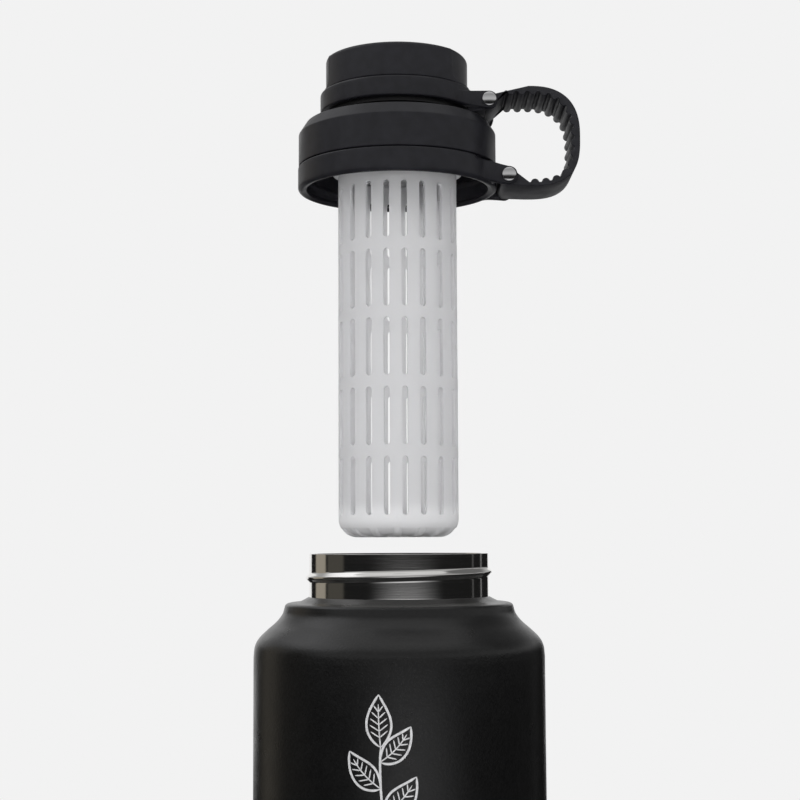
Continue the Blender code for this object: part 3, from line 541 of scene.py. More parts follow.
SILVER_PRINT = finish("silver_print", (0.62, 0.62, 0.63), 0.55, Metallic=0.25)
tint(SILVER_PRINT, noise(SILVER_PRINT, 700.0), (0.52, 0.52, 0.53), (0.7, 0.7, 0.71))
bump(SILVER_PRINT, noise(SILVER_PRINT, 2500.0), 0.00001)

SILICONE = finish("milky_silicone", (0.6, 0.6, 0.6), 0.5, Transmission_Weight=0.2)
bump(SILICONE, noise(SILICONE, 1200.0), 0.00001)

SEALING_GLASS = finish("sealing_glass", (0.06, 0.14, 0.08), 0.15, Transmission_Weight=0.4)
bump(SEALING_GLASS, noise(SEALING_GLASS, 800.0), 0.00004)

GETTER_METAL = finish("getter_metal", (0.25, 0.24, 0.23), 0.6, Metallic=0.8)
bump(GETTER_METAL, noise(GETTER_METAL, 2500.0), 0.00005)
print("finishes:", len(bpy.data.materials))

# %% [markdown]
# ## Dressing a piece
#
# Each fine piece gets its finish, the body it moves with and the plain solids that it stands in for. It
# hangs on an empty named after its body, so the piece only says where it belongs. The lid's pieces are
# drawn from the lid's lower edge, as a maker would, and then lifted to where the lid hangs.

# %% Dress
def dress(piece, material, slot, body, *nodes):
    """Give a piece its finish and its place in the frame."""
    piece.data.materials.clear()
    piece.data.materials.append(material)
    if nodes:
        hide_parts(*nodes)
    if body:
        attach(piece, body)
    print(piece.name, len(piece.data.polygons), "faces")
    return piece


def keep_node(node, material):
    """Give a solid of the frame its finish."""
    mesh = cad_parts[node].data
    mesh.materials.clear()
    mesh.materials.append(material)
    print(node, "stays a plain solid")


def on_lid(piece):
    """Lift a piece that is drawn from the lid's lower edge to its place."""
    piece.data.transform(Matrix.Translation((0.0, 0.0, LID_EDGE)))
    return piece


print("the lid's lower edge hangs at", round(LID_EDGE, 4), "m")


# %% [markdown]
# ## The coated shell
#
# The outside of the bottle is one sheet of steel, formed over a die: a straight body, a rounded shoulder,
# a raised ledge round the neck. It could be modelled with loop cuts and a bevel, but its soft changes of
# bend are what the light shows. So it is turned from a smooth curve through points of the shoulder, given
# as radius and depth under the rim. The powder coat stops 15 mm under the rim, in a lip as thick as a hair.

# %% Coated shell
SHEET = 0.0005
NECK_RADIUS = 0.03145
COAT = 0.00006
NECK_DEPTH = 0.015
BASE_FILLET = 0.0055
PRINT = 0.00005           # how far the print stands out of the coat
COAT_RADIUS = BODY_RADIUS - PRINT
LIP_EDGE = 0.00004
LIP_HEIGHT = 0.0001
SHOULDER = np.array([
    (0.0318, 0.0151), (0.0333, 0.0159), (0.0349, 0.0166), (0.0370, 0.0169), (0.0387, 0.0171),
    (0.0397, 0.0177), (0.0401, 0.0188), (0.0406, 0.0205), (0.0416, 0.0221), (0.0432, 0.0239),
    (0.0461, 0.0264), (0.0489, 0.0292), (0.0503, 0.0319), (COAT_RADIUS, 0.0355),
])
shoulder = smooth_path(SHOULDER * (1.0, -1.0) + (0.0, RIM), steps=6)
coat_top = RIM - NECK_DEPTH
coat_lip = rounded([
    (NECK_RADIUS, coat_top, 0.0), (NECK_RADIUS + COAT, coat_top, LIP_EDGE),
    (NECK_RADIUS + COAT, coat_top - LIP_HEIGHT, LIP_EDGE), (NECK_RADIUS, coat_top - 2 * LIP_HEIGHT, 0.0),
])[1:4]    # the start of the upper corner: the shoulder's curve goes on from there
fillet = arc((COAT_RADIUS - BASE_FILLET, BASE_FILLET), BASE_FILLET, 0.0, -90.0, 8)
outer_curve = np.vstack([coat_lip, shoulder, fillet])
coated_shell = lathe("coated_shell", apart(finer(sheet_outline(outer_curve, SHEET), 0.02)))
dress(coated_shell, POWDER_COAT, "coated_steel", "bottle", "outer_shell")

# %% [markdown]
# ## The printed sprig
#
# The front of the bottle carries a line drawing in silver, a plain leafy sprig. A picture on the material
# would do, but its edges would blur, so each stroke is a real layer of ink: a thin flat ribbon along a
# line. It is drawn on the unrolled wall, where across is the distance round the body and up is the height,
# and all ribbons are wrapped round the body together.

# %% Strokes
STROKE = 0.00075
FINE_STROKE = 0.0004
TAPERS = 12.0             # a stroke narrows over one part in so many of its length
POINT = 0.12              # square of the width left at its ends, as a share


def wrap_body(points, raised):
    """Wrap (across, up) round the body: the angle from the front is across / radius."""
    angle = FRONT + points[..., 0] / COAT_RADIUS
    radius = COAT_RADIUS + raised
    return np.stack([radius * np.cos(angle), radius * np.sin(angle), points[..., 1]], axis=-1)


def ribbon(line, width):
    """A closed flat ribbon along a line: four corners across it at each point, narrowed at both ends."""
    share = np.linspace(0.0, 1.0, len(line))
    narrow = np.sqrt(np.clip(np.minimum(share, 1.0 - share) * TAPERS, POINT, 1.0))
    across = side_normals(line, closed=False)[:, None] * (width / 2 * narrow)[:, None, None]
    corners = line[:, None] + across * np.array([-1.0, -1.0, 1.0, 1.0])[None, :, None]
    return wrap_body(corners, np.array([-PRINT, PRINT, PRINT, -PRINT]))


def drawing(name, strokes):
    """One piece from all strokes, each a line and a width."""
    points, faces, first = [], [], 0
    for line, width in strokes:
        made = ribbon(line, width)
        ends = np.array([[0, 1, 2, 3], 4 * len(line) - 1 - np.arange(4)])
        faces += (np.vstack([grid_faces(len(line), 4, False, True)[:, ::-1], ends]) + first).tolist()
        points.append(made.reshape(-1, 3))
        first += 4 * len(line)
    return put_mesh(name, np.vstack(points), faces)


print("strokes:", STROKE * 1000, "and", FINE_STROKE * 1000, "mm wide")

# %% Stem and leaves
PRINT_MIDDLE = -0.0040
PRINT_TOP = 0.2008
PRINT_LOW = 0.1180
TIP_LEAF = 0.0165         # length of the leaf at the top
STEM_WAVE = 0.0022
WAVE_START, WAVE_LENGTH = 0.9, 4.2  # in radians
LEAF_POINTS = 34
RIB_POINTS = 28           # the midrib stops short of the tip
VEINS = range(6, 25, 4)
VEIN_RISE = 4
VEIN_REACH = 0.72         # of the half width


def stem_at(share):
    """The stem, a slow wave from its foot to the last leaf."""
    up = PRINT_LOW + (PRINT_TOP - TIP_LEAF - PRINT_LOW) * share
    return np.stack([PRINT_MIDDLE + STEM_WAVE * np.sin(WAVE_LENGTH * share + WAVE_START), up], axis=-1)


def leaf(foot, heading, length, half_width, bend):
    """A leaf's strokes: outline, midrib and side veins.

    The midrib turns by an even bend, and the outline stands half_width * sin(pi t^0.8) from it, where t
    runs from the foot to the tip.
    """
    t = np.linspace(0.0, 1.0, LEAF_POINTS)
    turn = heading + bend * t
    step = np.stack([np.cos(turn), np.sin(turn)], axis=1) * length / (len(t) - 1)
    rib = foot + np.vstack([(0.0, 0.0), np.cumsum(step[:-1], axis=0)])
    aside = np.stack([-np.sin(turn), np.cos(turn)], axis=1)
    half = half_width * np.sin(np.pi * t**0.8)[:, None]
    strokes = [(rib + aside * half, STROKE), (rib - aside * half, STROKE), (rib[:RIB_POINTS], FINE_STROKE)]
    for k in VEINS:
        end = k + VEIN_RISE
        for side in (1, -1):
            out = rib[end] + side * aside[end] * half[end] * VEIN_REACH
            strokes.append((np.linspace(rib[k], out, 6), FINE_STROKE))
    return strokes


print("the sprig is", round((PRINT_TOP - PRINT_LOW) * 1000), "mm tall")

# %% Sprig
LEAF_COUNT = 7
LEAF_STEP = 0.125         # of the stem, from leaf to leaf
HIGHEST_LEAF = 0.93
LEAF_LEAN = 58.0
LEAF_BEND = math.radians(34.0)
LEAF_LENGTH, LONGER = 0.0150, 0.0006
LEAF_HALF, WIDER = 0.0036, 0.0002
stem = stem_at(np.linspace(-0.02, 1.0, 90))
sprig = [(stem[:47], STROKE), (stem[45:], STROKE)]
sprig += leaf(stem[-1], math.radians(96.0), TIP_LEAF, 0.0040, math.radians(-8.0))
for k in range(LEAF_COUNT):
    side = -1 if k % 2 else 1
    leaf_foot = stem_at(np.array(HIGHEST_LEAF - k * LEAF_STEP))
    heading = math.radians(90.0 - side * LEAF_LEAN)
    grown = min(k, 4)
    sprig += leaf(
        leaf_foot, heading, LEAF_LENGTH + LONGER * grown, LEAF_HALF + WIDER * grown, side * LEAF_BEND,
    )
printed_sprig = drawing("printed_sprig", sprig)
dress(printed_sprig, SILVER_PRINT, "bare_steel", "bottle")

# %% [markdown]
# ## The bare neck
#
# The same sheet runs on upwards, uncoated and polished, and its thread is rolled into it: a soft ridge of
# just over one turn. A wire wound on a tube would meet it in a crease, so the ridge is a lift of the tube's
# own surface. The rim on top is the weld between the two walls, ground round.

# %% Bare neck
NECK_LEAD = 0.0042
NECK_TURNS = 1.15
NECK_RIDGE_DEPTH = 0.0074 # rim to the middle of the ridge
NECK_RIDGE_HALF = 0.0019
NECK_RIDGE_PROUD = 0.00125
MOUTH_RADIUS = 0.03015
WELD_HEIGHT = 0.0011
weld_low = RIM - WELD_HEIGHT
neck_outline = finer(rounded([
    (NECK_RADIUS, RIM, 0.0001), (NECK_RADIUS, coat_top, 0.00002), (NECK_RADIUS - SHEET, coat_top, 0.00002),
    (NECK_RADIUS - SHEET, weld_low, 0.0001), (MOUTH_RADIUS, weld_low, 0.0002), (MOUTH_RADIUS, RIM, 0.0001),
]), 0.00025)
neck_thread = thread(
    NECK_RADIUS, coat_top, RIM, NECK_LEAD, NECK_TURNS, RIM - NECK_RIDGE_DEPTH, NECK_RIDGE_HALF,
    NECK_RIDGE_PROUD,
)
bare_neck = lathe("bare_neck", neck_outline, [neck_thread], steps=300)
dress(bare_neck, NECK_STEEL, "bare_steel", "bottle", "outer_shell")

# %% [markdown]
# ## Inside and under the bottle
#
# The inner vessel hangs from the rim with 3 mm of vacuum round it, and its floor is a pressed dish. Under
# the bottle, a foot ring carries a recessed floor with the seal, and a thin disc covers that. Hardly any of
# it shows, but a bottle that is cut open or turned over has to be right. All are sheets turned from a
# curve, as the shell is. The glass bead and the getter pill inside the wall stay plain solids.

# %% Inner vessel
VESSEL_RADIUS = 0.0473
VESSEL_SHOULDER = np.array([
    (0.03065, 0.0012), (0.03065, 0.0150), (0.0312, 0.0168), (0.0327, 0.0196), (0.0376, 0.0218),
    (0.0416, 0.0272), (0.0456, 0.0322), (VESSEL_RADIUS, 0.0374),
])
vessel_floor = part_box("inner_vessel")[0].z
vessel_curve = np.vstack([
    smooth_path(VESSEL_SHOULDER * (1.0, -1.0) + (0.0, RIM), steps=6), (VESSEL_RADIUS, vessel_floor),
])
vessel = lathe("fine_vessel", apart(finer(sheet_outline(vessel_curve, SHEET), 0.01)), steps=200)
dress(vessel, VESSEL_STEEL, "bare_steel", "bottle", "inner_vessel")

# %% Vessel's floor
dish_low, dish_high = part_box("inner_bottom")[0].z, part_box("inner_bottom")[1].z
dish_curve = np.vstack([
    (VESSEL_RADIUS, dish_high),
    arc((VESSEL_RADIUS - BASE_FILLET, dish_low + BASE_FILLET), BASE_FILLET, 0.0, -90.0, 8),
    (0.0, dish_low),
])
dish_outline = np.roll(sheet_outline(dish_curve, SHEET), len(dish_curve), axis=0)
dish = lathe("fine_dish", finer(dish_outline, 0.006, closed=False), steps=200, closed=False)
dress(dish, VESSEL_STEEL, "bare_steel", "bottle", "inner_bottom")

# %% Foot and cover
FOOT_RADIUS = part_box("outer_bottom")[1].x
RECESS_RADIUS, RECESS_LEVEL = 0.038, 0.0012
SEAL_RADIUS, SEAL_LEVEL = 0.0055, 0.0028
PORT_RADIUS = 0.0013
foot = lathe("fine_foot", rounded([
    (FOOT_RADIUS, SHEET, 0.0001), (FOOT_RADIUS, 0.0, 0.0002), (RECESS_RADIUS, 0.0, 0.0003),
    (RECESS_RADIUS, RECESS_LEVEL, 0.0003), (SEAL_RADIUS, RECESS_LEVEL, 0.0003),
    (SEAL_RADIUS, SEAL_LEVEL, 0.0002), (PORT_RADIUS, SEAL_LEVEL, 0.0001),
    (PORT_RADIUS, SEAL_LEVEL + SHEET, 0.0001), (SEAL_RADIUS + SHEET, SEAL_LEVEL + SHEET, 0.0003),
    (SEAL_RADIUS + SHEET, RECESS_LEVEL + SHEET, 0.0003),
    (RECESS_RADIUS + SHEET, RECESS_LEVEL + SHEET, 0.0003), (RECESS_RADIUS + SHEET, SHEET, 0.0001),
]), steps=200)
dress(foot, BASE_STEEL, "base_steel", "bottle", "outer_bottom")

COVER_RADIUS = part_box("base_cover")[1].x
COVER_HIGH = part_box("base_cover")[1].z
COVER_EDGE = 0.0003
COVER_DISH, DISH_RADIUS = 0.00008, 0.030
cover_curve = np.vstack([
    (0.0, COVER_HIGH), (COVER_RADIUS - 0.0002, COVER_HIGH),
    arc((COVER_RADIUS - COVER_EDGE, COVER_EDGE), COVER_EDGE, 0.0, -90.0, 4),
    (DISH_RADIUS, COVER_DISH), (0.0, COVER_DISH),
])
cover = lathe("fine_base_cover", finer(cover_curve, 0.004, closed=False), steps=200, closed=False)
dress(cover, BASE_STEEL, "base_steel", "bottle", "base_cover")
keep_node("vacuum_plug", SEALING_GLASS)
keep_node("getter_capsule", GETTER_METAL)

# %% [markdown]
# ## The lid's collar
#
# One moulding does most of the lid's work. Its skirt screws over the neck, its deck slopes up to the
# drinking spout, and inside it a thin lip guides the mouth and a sleeve takes the infuser. It could be put
# together from tubes with booleans, but one closed outline turned round the axis has no joins to clean up,
# and a thread is lifted out of three of its walls.

# %% Collar's outline
SKIRT_RADIUS = 0.03395    # under the strap ring
THREAD_BORE = 0.03295
GUIDE_OUTSIDE, GUIDE_BORE = 0.02895, 0.02825
SLEEVE_OUTSIDE, SLEEVE_BORE = 0.0240, 0.0218
SPOUT_RADIUS, SPOUT_BORE = 0.0199, 0.0172
SPOUT_TOP = 0.0397
DECK_TOP = 0.0247
STRAP_SEAT = 0.0082       # where the strap ring ends
GASKET_SEAT = 0.0180
GUIDE_LOW, SLEEVE_LOW = 0.0150, 0.0100
INSIDE_TOP = 0.0221
collar_outline = rounded([
    (SPOUT_RADIUS, SPOUT_TOP, 0.0006), (SPOUT_RADIUS, DECK_TOP, 0.0006), (0.0326, 0.0238, 0.0009),
    (LID_RADIUS, 0.0196, 0.0009), (LID_RADIUS, STRAP_SEAT, 0.0003), (SKIRT_RADIUS, STRAP_SEAT, 0.0001),
    (SKIRT_RADIUS, COLLAR_RISE, 0.0001), (THREAD_BORE, COLLAR_RISE, 0.0002),
    (THREAD_BORE, GASKET_SEAT, 0.0003), (GUIDE_OUTSIDE, GASKET_SEAT, 0.0002),
    (GUIDE_OUTSIDE, GUIDE_LOW, 0.0002), (GUIDE_BORE, GUIDE_LOW, 0.0002), (GUIDE_BORE, INSIDE_TOP, 0.0006),
    (SLEEVE_OUTSIDE, INSIDE_TOP, 0.0006), (SLEEVE_OUTSIDE, SLEEVE_LOW, 0.0004),
    (SLEEVE_BORE, SLEEVE_LOW, 0.0004), (SLEEVE_BORE, INSIDE_TOP, 0.0003),
    (SPOUT_BORE, INSIDE_TOP, 0.0004), (SPOUT_BORE, SPOUT_TOP, 0.0006),
], steps=4)

# %% Collar
CAP_LEAD, INFUSER_LEAD = 0.0036, 0.0030
collar_threads = [
    thread(THREAD_BORE, 0.0014, 0.0178, NECK_LEAD, NECK_TURNS, 0.0057, 0.0013, 0.00095, inward=True),
    thread(SPOUT_RADIUS, 0.0252, 0.0390, CAP_LEAD, 1.5, 0.0318, 0.0010, 0.0009),
    thread(SLEEVE_BORE, 0.0104, 0.0218, INFUSER_LEAD, 1.25, 0.012875, 0.0008, 0.00065, inward=True),
]
collar = on_lid(lathe("fine_collar", finer(collar_outline, 0.0004), collar_threads, steps=220))
dress(collar, LID_PLASTIC, "lid_plastic", "lid", "lid_collar")

# %% [markdown]
# ## Gaskets and the cap's liner
#
# Three silicone rings seal the lid on the rim, the cap on the spout and the infuser in its sleeve. The
# cap's liner is the threaded cup inside its grip shell, and the bead round its foot carries the cap ring.
# They hide inside the lid, so plain turned pieces with round edges are enough.


# %% Gaskets
def soft_ring(name, inner, outer, low, high, rounding, body, node):
    """A silicone ring of nearly square section, as it is moulded."""
    made = lathe(name, rounded([
        (outer, high, rounding), (outer, low, rounding), (inner, low, rounding), (inner, high, rounding),
    ]), steps=180)
    return dress(on_lid(made), SILICONE, "silicone", body, node)


soft_ring("fine_lid_gasket", 0.02925, 0.03265, 0.0155, 0.0177, 0.0006, "lid_lifter", "lid_gasket")
soft_ring("fine_cap_gasket", 0.0172, 0.0209, 0.0400, 0.0417, 0.0004, "cap", "cap_gasket")
soft_ring("fine_infuser_seal", 0.0180, 0.0214, 0.0210, 0.0218, 0.0003, "infuser_lifter", "infuser_seal")

# %% Cap's liner
LINER_RADIUS, LINER_BORE = 0.0236, 0.0212
LINER_TOP, LINER_UNDER, LINER_LOW = 0.0441, 0.0420, 0.0265
BEAD_RADIUS, BEAD_TOP = 0.0246, 0.0277
CUT = 0.0003              # the corners are cut off by this much
liner_outline = np.vstack([
    (0.0, LINER_TOP), (LINER_RADIUS - CUT, LINER_TOP), (LINER_RADIUS, LINER_TOP - CUT),
    (LINER_RADIUS, BEAD_TOP), (BEAD_RADIUS, BEAD_TOP), (BEAD_RADIUS, LINER_LOW),
    (LINER_BORE + CUT, LINER_LOW), (LINER_BORE, LINER_LOW + CUT), (LINER_BORE, LINER_UNDER),
    (0.0, LINER_UNDER),
])
liner_thread = thread(LINER_BORE, 0.0266, 0.0415, CAP_LEAD, 1.25, 0.0300, 0.0009, 0.0007, inward=True)
liner_outline = finer(liner_outline, 0.0005, closed=False)
liner = on_lid(lathe("fine_liner", liner_outline, [liner_thread], steps=180, closed=False))
dress(liner, LINER_PLASTIC, "liner_plastic", "cap", "cap_liner")

# %% [markdown]
# ## Rings with arms
#
# The loop hangs between two rings. Each ring is a plain turned piece. Two arms grow out of it towards the
# pivot, a little lower than the ring. Seen from above, the wall flows into each arm in a fillet. Seen from
# the side, the arm ends in a round eye. Joining a ring and two blocks by a boolean would need both fillets
# made by hand. So the arms are a slab with that plan, and its upper and lower ends follow the side view.
# The slab's round part hides just inside the ring.

# %% Plan of the arms
ARM_INSIDE = 0.0123
ARM_OUTSIDE = 0.0150
EYE_RADIUS = 0.0031
PIN_RADIUS = 0.0012
HIDDEN = 0.00004
ARM_STEP = 0.0004


def arms_plan(radius, tip, fillet, inner_fillet, corner):
    """The plan of a ring with two arms towards +X, from its far left round the front to the far left.

    A fillet between the circle and the line y = -offset touches both: its centre lies radius + fillet
    from the axis and one fillet off the line.
    """
    def touch(offset, size, away):
        y = -(offset + away * size)
        x = math.sqrt((radius + size) ** 2 - y ** 2)
        return (x, y), math.degrees(math.atan2(y, x))
    outer, outer_angle = touch(ARM_OUTSIDE, fillet, 1)
    inner, inner_angle = touch(ARM_INSIDE, inner_fillet, -1)
    outer_side = np.array([(outer[0], -ARM_OUTSIDE), (tip - corner, -ARM_OUTSIDE)])
    inner_side = np.array([(tip - corner, -ARM_INSIDE), (inner[0], -ARM_INSIDE)])
    half = np.vstack([
        arc((0.0, 0.0), radius, -180.0, outer_angle, 150),
        arc(outer, fillet, outer_angle + 180.0, 90.0, 16)[1:],
        finer(outer_side, ARM_STEP, closed=False)[1:],
        arc((tip - corner, -ARM_OUTSIDE + corner), corner, -90.0, 0.0, 5)[1:],
        arc((tip - corner, -ARM_INSIDE - corner), corner, 0.0, 90.0, 5)[1:],
        finer(inner_side, ARM_STEP, closed=False)[1:],
        arc(inner, inner_fillet, 270.0, 180.0 + inner_angle, 6)[1:],
        arc((0.0, 0.0), radius, inner_angle, 0.0, 20)[1:],
    ])
    return apart(np.vstack([half, half[::-1] * (1.0, -1.0)]), least=1e-6)


print("arms:", round((ARM_OUTSIDE - ARM_INSIDE) * 1000, 1), "mm thick")


# %% Rise of the arms
def arm_levels(low, high, start, pivot):
    """Ends of the arms' slab: flat round the ring, then straight to the eye, then round the eye."""
    def levels(points):
        x = points[:, 0]
        along = np.clip((x - start) / (pivot[0] - start), 0.0, 1.0)
        eye = np.sqrt(np.maximum(EYE_RADIUS**2 - np.maximum(x - pivot[0], 0.0) ** 2, 1e-10))
        top = high * (1 - along) + (pivot[1] + eye) * along
        bottom = low * (1 - along) + (pivot[1] - eye) * along
        return bottom + LID_EDGE, top + LID_EDGE
    return levels


def ring_arms(name, radius, bore, low, high, start, pivot, fillet, body, node):
    """The slab with a ring's arms, as high as the arms are."""
    plan = arms_plan(radius - HIDDEN, pivot[0] + EYE_RADIUS, fillet, inner_fillet=0.001, corner=0.0006)
    hole = arc((0.0, 0.0), bore + HIDDEN, 0.0, 360.0, 240)[:-1]
    made = slab(name, [plan, hole], low, high, ARM_STEP, lying, arm_levels(low, high, start, pivot))
    return dress(made, LID_PLASTIC, "lid_plastic", body, node)


print("eyes:", round(EYE_RADIUS * 2000, 1), "mm across, on pins of", round(PIN_RADIUS * 2000, 1), "mm")

# %% [markdown]
# ## The strap ring and the cap ring
#
# The strap ring snaps round the collar's lower edge. Its foot is bevelled inwards, so that it clears the
# bottle's ledge when the lid is on, and its top is cut lower where the arms leave it. The cap ring lies
# loose under the cap and keeps it on the loop.

# %% Strap ring
STRAP_RADIUS, STRAP_BORE = 0.0355, 0.03425
STRAP_LOW, STRAP_HIGH = -0.0005, 0.0079
FOOT_FLAT = 0.0340        # radius at which the foot starts to slope up
LIP_RADIUS, LIP_TOP = 0.0325, 0.0010
NOTCH, NOTCH_START, NOTCH_FADE = 0.0009, 0.0270, 0.0002
NOTCH_OVER = 0.004        # only the part over this height is cut
RING_STEP = 0.0012


def strap_notch(radius, height, angle):
    """The ring's top is lower where the arms leave it: right of a line across the ring."""
    past = (radius * np.cos(angle) - NOTCH_START) / NOTCH_FADE
    return NOTCH * np.clip(past, 0.0, 1.0) * (height > NOTCH_OVER)


strap_outline = rounded([
    (STRAP_RADIUS, STRAP_HIGH, 0.0006), (STRAP_RADIUS, STRAP_LOW, 0.0013), (FOOT_FLAT, STRAP_LOW, 0.0006),
    (LIP_RADIUS, 0.0, 0.0003), (LIP_RADIUS, LIP_TOP, 0.0003), (STRAP_BORE, LIP_TOP, 0.0001),
    (STRAP_BORE, STRAP_HIGH, 0.0003),
])
strap_ring = on_lid(
    lathe("fine_strap_ring", finer(strap_outline, RING_STEP), drops=[strap_notch], steps=300)
)
dress(strap_ring, LID_PLASTIC, "lid_plastic", "lid", "strap_ring")
ring_arms(
    "fine_strap_arms", STRAP_RADIUS, STRAP_BORE, low=0.0001, high=STRAP_HIGH - NOTCH, start=0.0330,
    pivot=LOWER_PIVOT, fillet=0.012, body="lid", node="strap_ring",
)

# %% Cap ring
KEEPER_RADIUS = 0.0275
KEEPER_BORE = 0.0249
KEEPER_LOW, KEEPER_HIGH = 0.0278, 0.0348
keeper_outline = rounded([
    (KEEPER_RADIUS, KEEPER_HIGH, 0.0009), (KEEPER_RADIUS, KEEPER_LOW, 0.0005),
    (KEEPER_BORE, KEEPER_LOW, 0.0003), (KEEPER_BORE, KEEPER_HIGH, 0.0003),
])
keeper = on_lid(lathe("fine_cap_ring", finer(keeper_outline, RING_STEP)))
dress(keeper, LID_PLASTIC, "lid_plastic", "cap_keeper", "cap_ring")
ring_arms(
    "fine_cap_arms", KEEPER_RADIUS, KEEPER_BORE, low=KEEPER_LOW + 0.0001,
    high=UPPER_PIVOT[1] + EYE_RADIUS, start=0.0225, pivot=UPPER_PIVOT, fillet=0.008, body="cap_keeper",
    node="cap_ring",
)

# %% [markdown]
# ## The cap
#
# The cap is a plain turned shell with two thumb grips shaved off opposite sides. A boolean with an oval
# tube would cut them, and leave long thin faces in the light's way. Here the wall itself follows an oval
# that is a little narrower than the cap: where the oval lies inside the circle, the wall steps in to it. A
# grip ends in two upright creases, each with a fine raised line, and round corners join them to its lower
# edge, just over the cap's own.

# %% Grips
GRIP_DEPTH = 0.0009
GRIP_HALF = math.radians(33.0)
GRIP_TURN = math.radians(-10.0)
GRIP_LIP, LIP_SPREAD = 0.00012, 0.03
GRIP_REST = 0.0008        # height of the wall left under a grip
GRIP_CORNER, CORNER_SHARE = 0.0042, 0.30
GRIP_STEP = 0.0004
CAP_SIDE = 0.0020         # the grips are in the outermost part of the shell
CAP_LOW = 0.0351


def grips(radius, height, angle):
    """How far the wall stands out: the oval's radius less the circle's, faded in over the lower edge.

    The oval is 1 / sqrt((cos a / short)^2 + (sin a / long)^2), and meets the circle at the grip's ends.
    """
    turn = angle - GRIP_TURN
    short = CAP_RADIUS - GRIP_DEPTH
    ratio = (math.cos(GRIP_HALF) * CAP_RADIUS / short) ** 2
    long = CAP_RADIUS * math.sin(GRIP_HALF) / math.sqrt(1.0 - ratio)
    oval = 1.0 / np.sqrt((np.cos(turn) / short) ** 2 + (np.sin(turn) / long) ** 2)
    off = np.arccos(np.clip(np.abs(np.cos(turn)), 0.0, 1.0)) / GRIP_HALF
    corner = np.clip((off - (1.0 - CORNER_SHARE)) / CORNER_SHARE, 0.0, 1.0)
    edge = CAP_LOW + GRIP_REST + GRIP_CORNER * (1.0 - np.sqrt(1.0 - corner**2))
    rise = np.clip((height - edge) / GRIP_STEP, 0.0, 1.0)
    lip = GRIP_LIP * np.exp(-(((off - 1.0) / LIP_SPREAD) ** 2))
    return (np.minimum(oval - CAP_RADIUS, 0.0) + lip) * rise * (radius > CAP_RADIUS - CAP_SIDE)


print("grips:", round(math.degrees(2 * GRIP_HALF)), "degrees wide,", GRIP_DEPTH * 1000, "mm deep")

# %% Cap
CAP_BORE, CAP_UNDER = 0.0239, 0.0444
CAP_EDGE, CAP_FOOT = 0.0013, 0.0003
CAP_DISH = 0.0004         # how far the middle of the top is sunk
cap_outline = np.vstack([
    (0.0, CAP_TOP - CAP_DISH), (0.0190, CAP_TOP - CAP_DISH), (0.0200, CAP_TOP - CAP_DISH / 8),
    (0.0206, CAP_TOP), arc((CAP_RADIUS - CAP_EDGE, CAP_TOP - CAP_EDGE), CAP_EDGE, 90.0, 0.0, 7),
    arc((CAP_RADIUS - CAP_FOOT, CAP_LOW + CAP_FOOT), CAP_FOOT, 0.0, -90.0, 4),
    (CAP_BORE, CAP_LOW), (CAP_BORE, CAP_UNDER), (0.0, CAP_UNDER),
])
cap_outline = finer(cap_outline, 0.00025, closed=False)
cap = on_lid(lathe("fine_cap", cap_outline, [grips], steps=300, closed=False))
dress(cap, CAP_PLASTIC, "cap_plastic", "cap", "cap_shell")

# %% [markdown]
# ## The carry loop
#
# The loop is one flexible band. Its side view is a squared oval, and a row of rounded ribs runs along the
# inside for grip. Each rib is wide and the valley between two is narrow. At both ends the band widens to
# a barrel round its pivot, and past the upper one a flat toe reaches in under the cap ring. A curve with a
# bevel would give the band but not the ribs, so the whole side view is one outline, made into a slab as
# wide as the band.

# %% Band's side view
LOOP_HALF_WIDTH = 0.012
LOOP_CENTRE = 0.0465
LOOP_TOP = 0.035
LOOP_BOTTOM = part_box("loop_handle")[0].z - LID_EDGE
BAND = 0.002
BAND_THIN = 0.0013        # along the bottom
SQUARENESS = 2.5          # of the upper half
FOOT_SQUARENESS = 3.0


def squared_side(low, high, reach, count):
    """The right half of a squared oval, |x/a|^n + |z/b|^n = 1, from its top to its bottom."""
    a = np.linspace(np.pi / 2, -np.pi / 2, count)
    power = 2 / np.where(a > 0.0, SQUARENESS, FOOT_SQUARENESS)
    x = LOOP_CENTRE + (reach - LOOP_CENTRE) * np.abs(np.cos(a)) ** power
    z = (low + high) / 2 + (high - low) / 2 * np.sign(np.sin(a)) * np.abs(np.sin(a)) ** power
    return np.stack([x, z], axis=1)


def evenly(points, count):
    """Points at even steps along a polyline, by its length."""
    length = np.concatenate([[0.0], np.cumsum(np.linalg.norm(np.diff(points, axis=0), axis=1))])
    s = np.linspace(0.0, length[-1], count)
    return np.stack([np.interp(s, length, points[:, 0]), np.interp(s, length, points[:, 1])], axis=1)


outside = squared_side(LOOP_BOTTOM, LOOP_TOP, LOOP_REACH, 120)
print("loop:", round((LOOP_TOP - LOOP_BOTTOM) * 1000, 1), "mm high")


# %% Tangents and holes
PIN_PLAY = 0.0001


def touch_point(point, centre, radius, side):
    """Where a line from a point touches a circle, on its left (1) or right (-1) side."""
    way = np.array(centre) - point
    distance = np.hypot(*way)
    lean = math.atan2(way[1], way[0]) + side * math.asin(radius / distance)
    return np.array(point) + math.sqrt(distance**2 - radius**2) * np.array([math.cos(lean), math.sin(lean)])


def bearing(centre, point):
    """The angle of a point round a centre, in degrees."""
    return math.degrees(math.atan2(point[1] - centre[1], point[0] - centre[0]))


def barrel_arc(pivot, radius, start, end, count):
    """The part of a barrel from the bearing of one point, counted from 0 to 360, to that of another."""
    return arc(pivot, radius, bearing(pivot, start) % 360.0, end, count)


def pin_hole(pivot):
    """The round hole that the rivet's tube turns in."""
    return arc(pivot, PIN_RADIUS + PIN_PLAY, 0.0, 360.0, 40)[:-1]


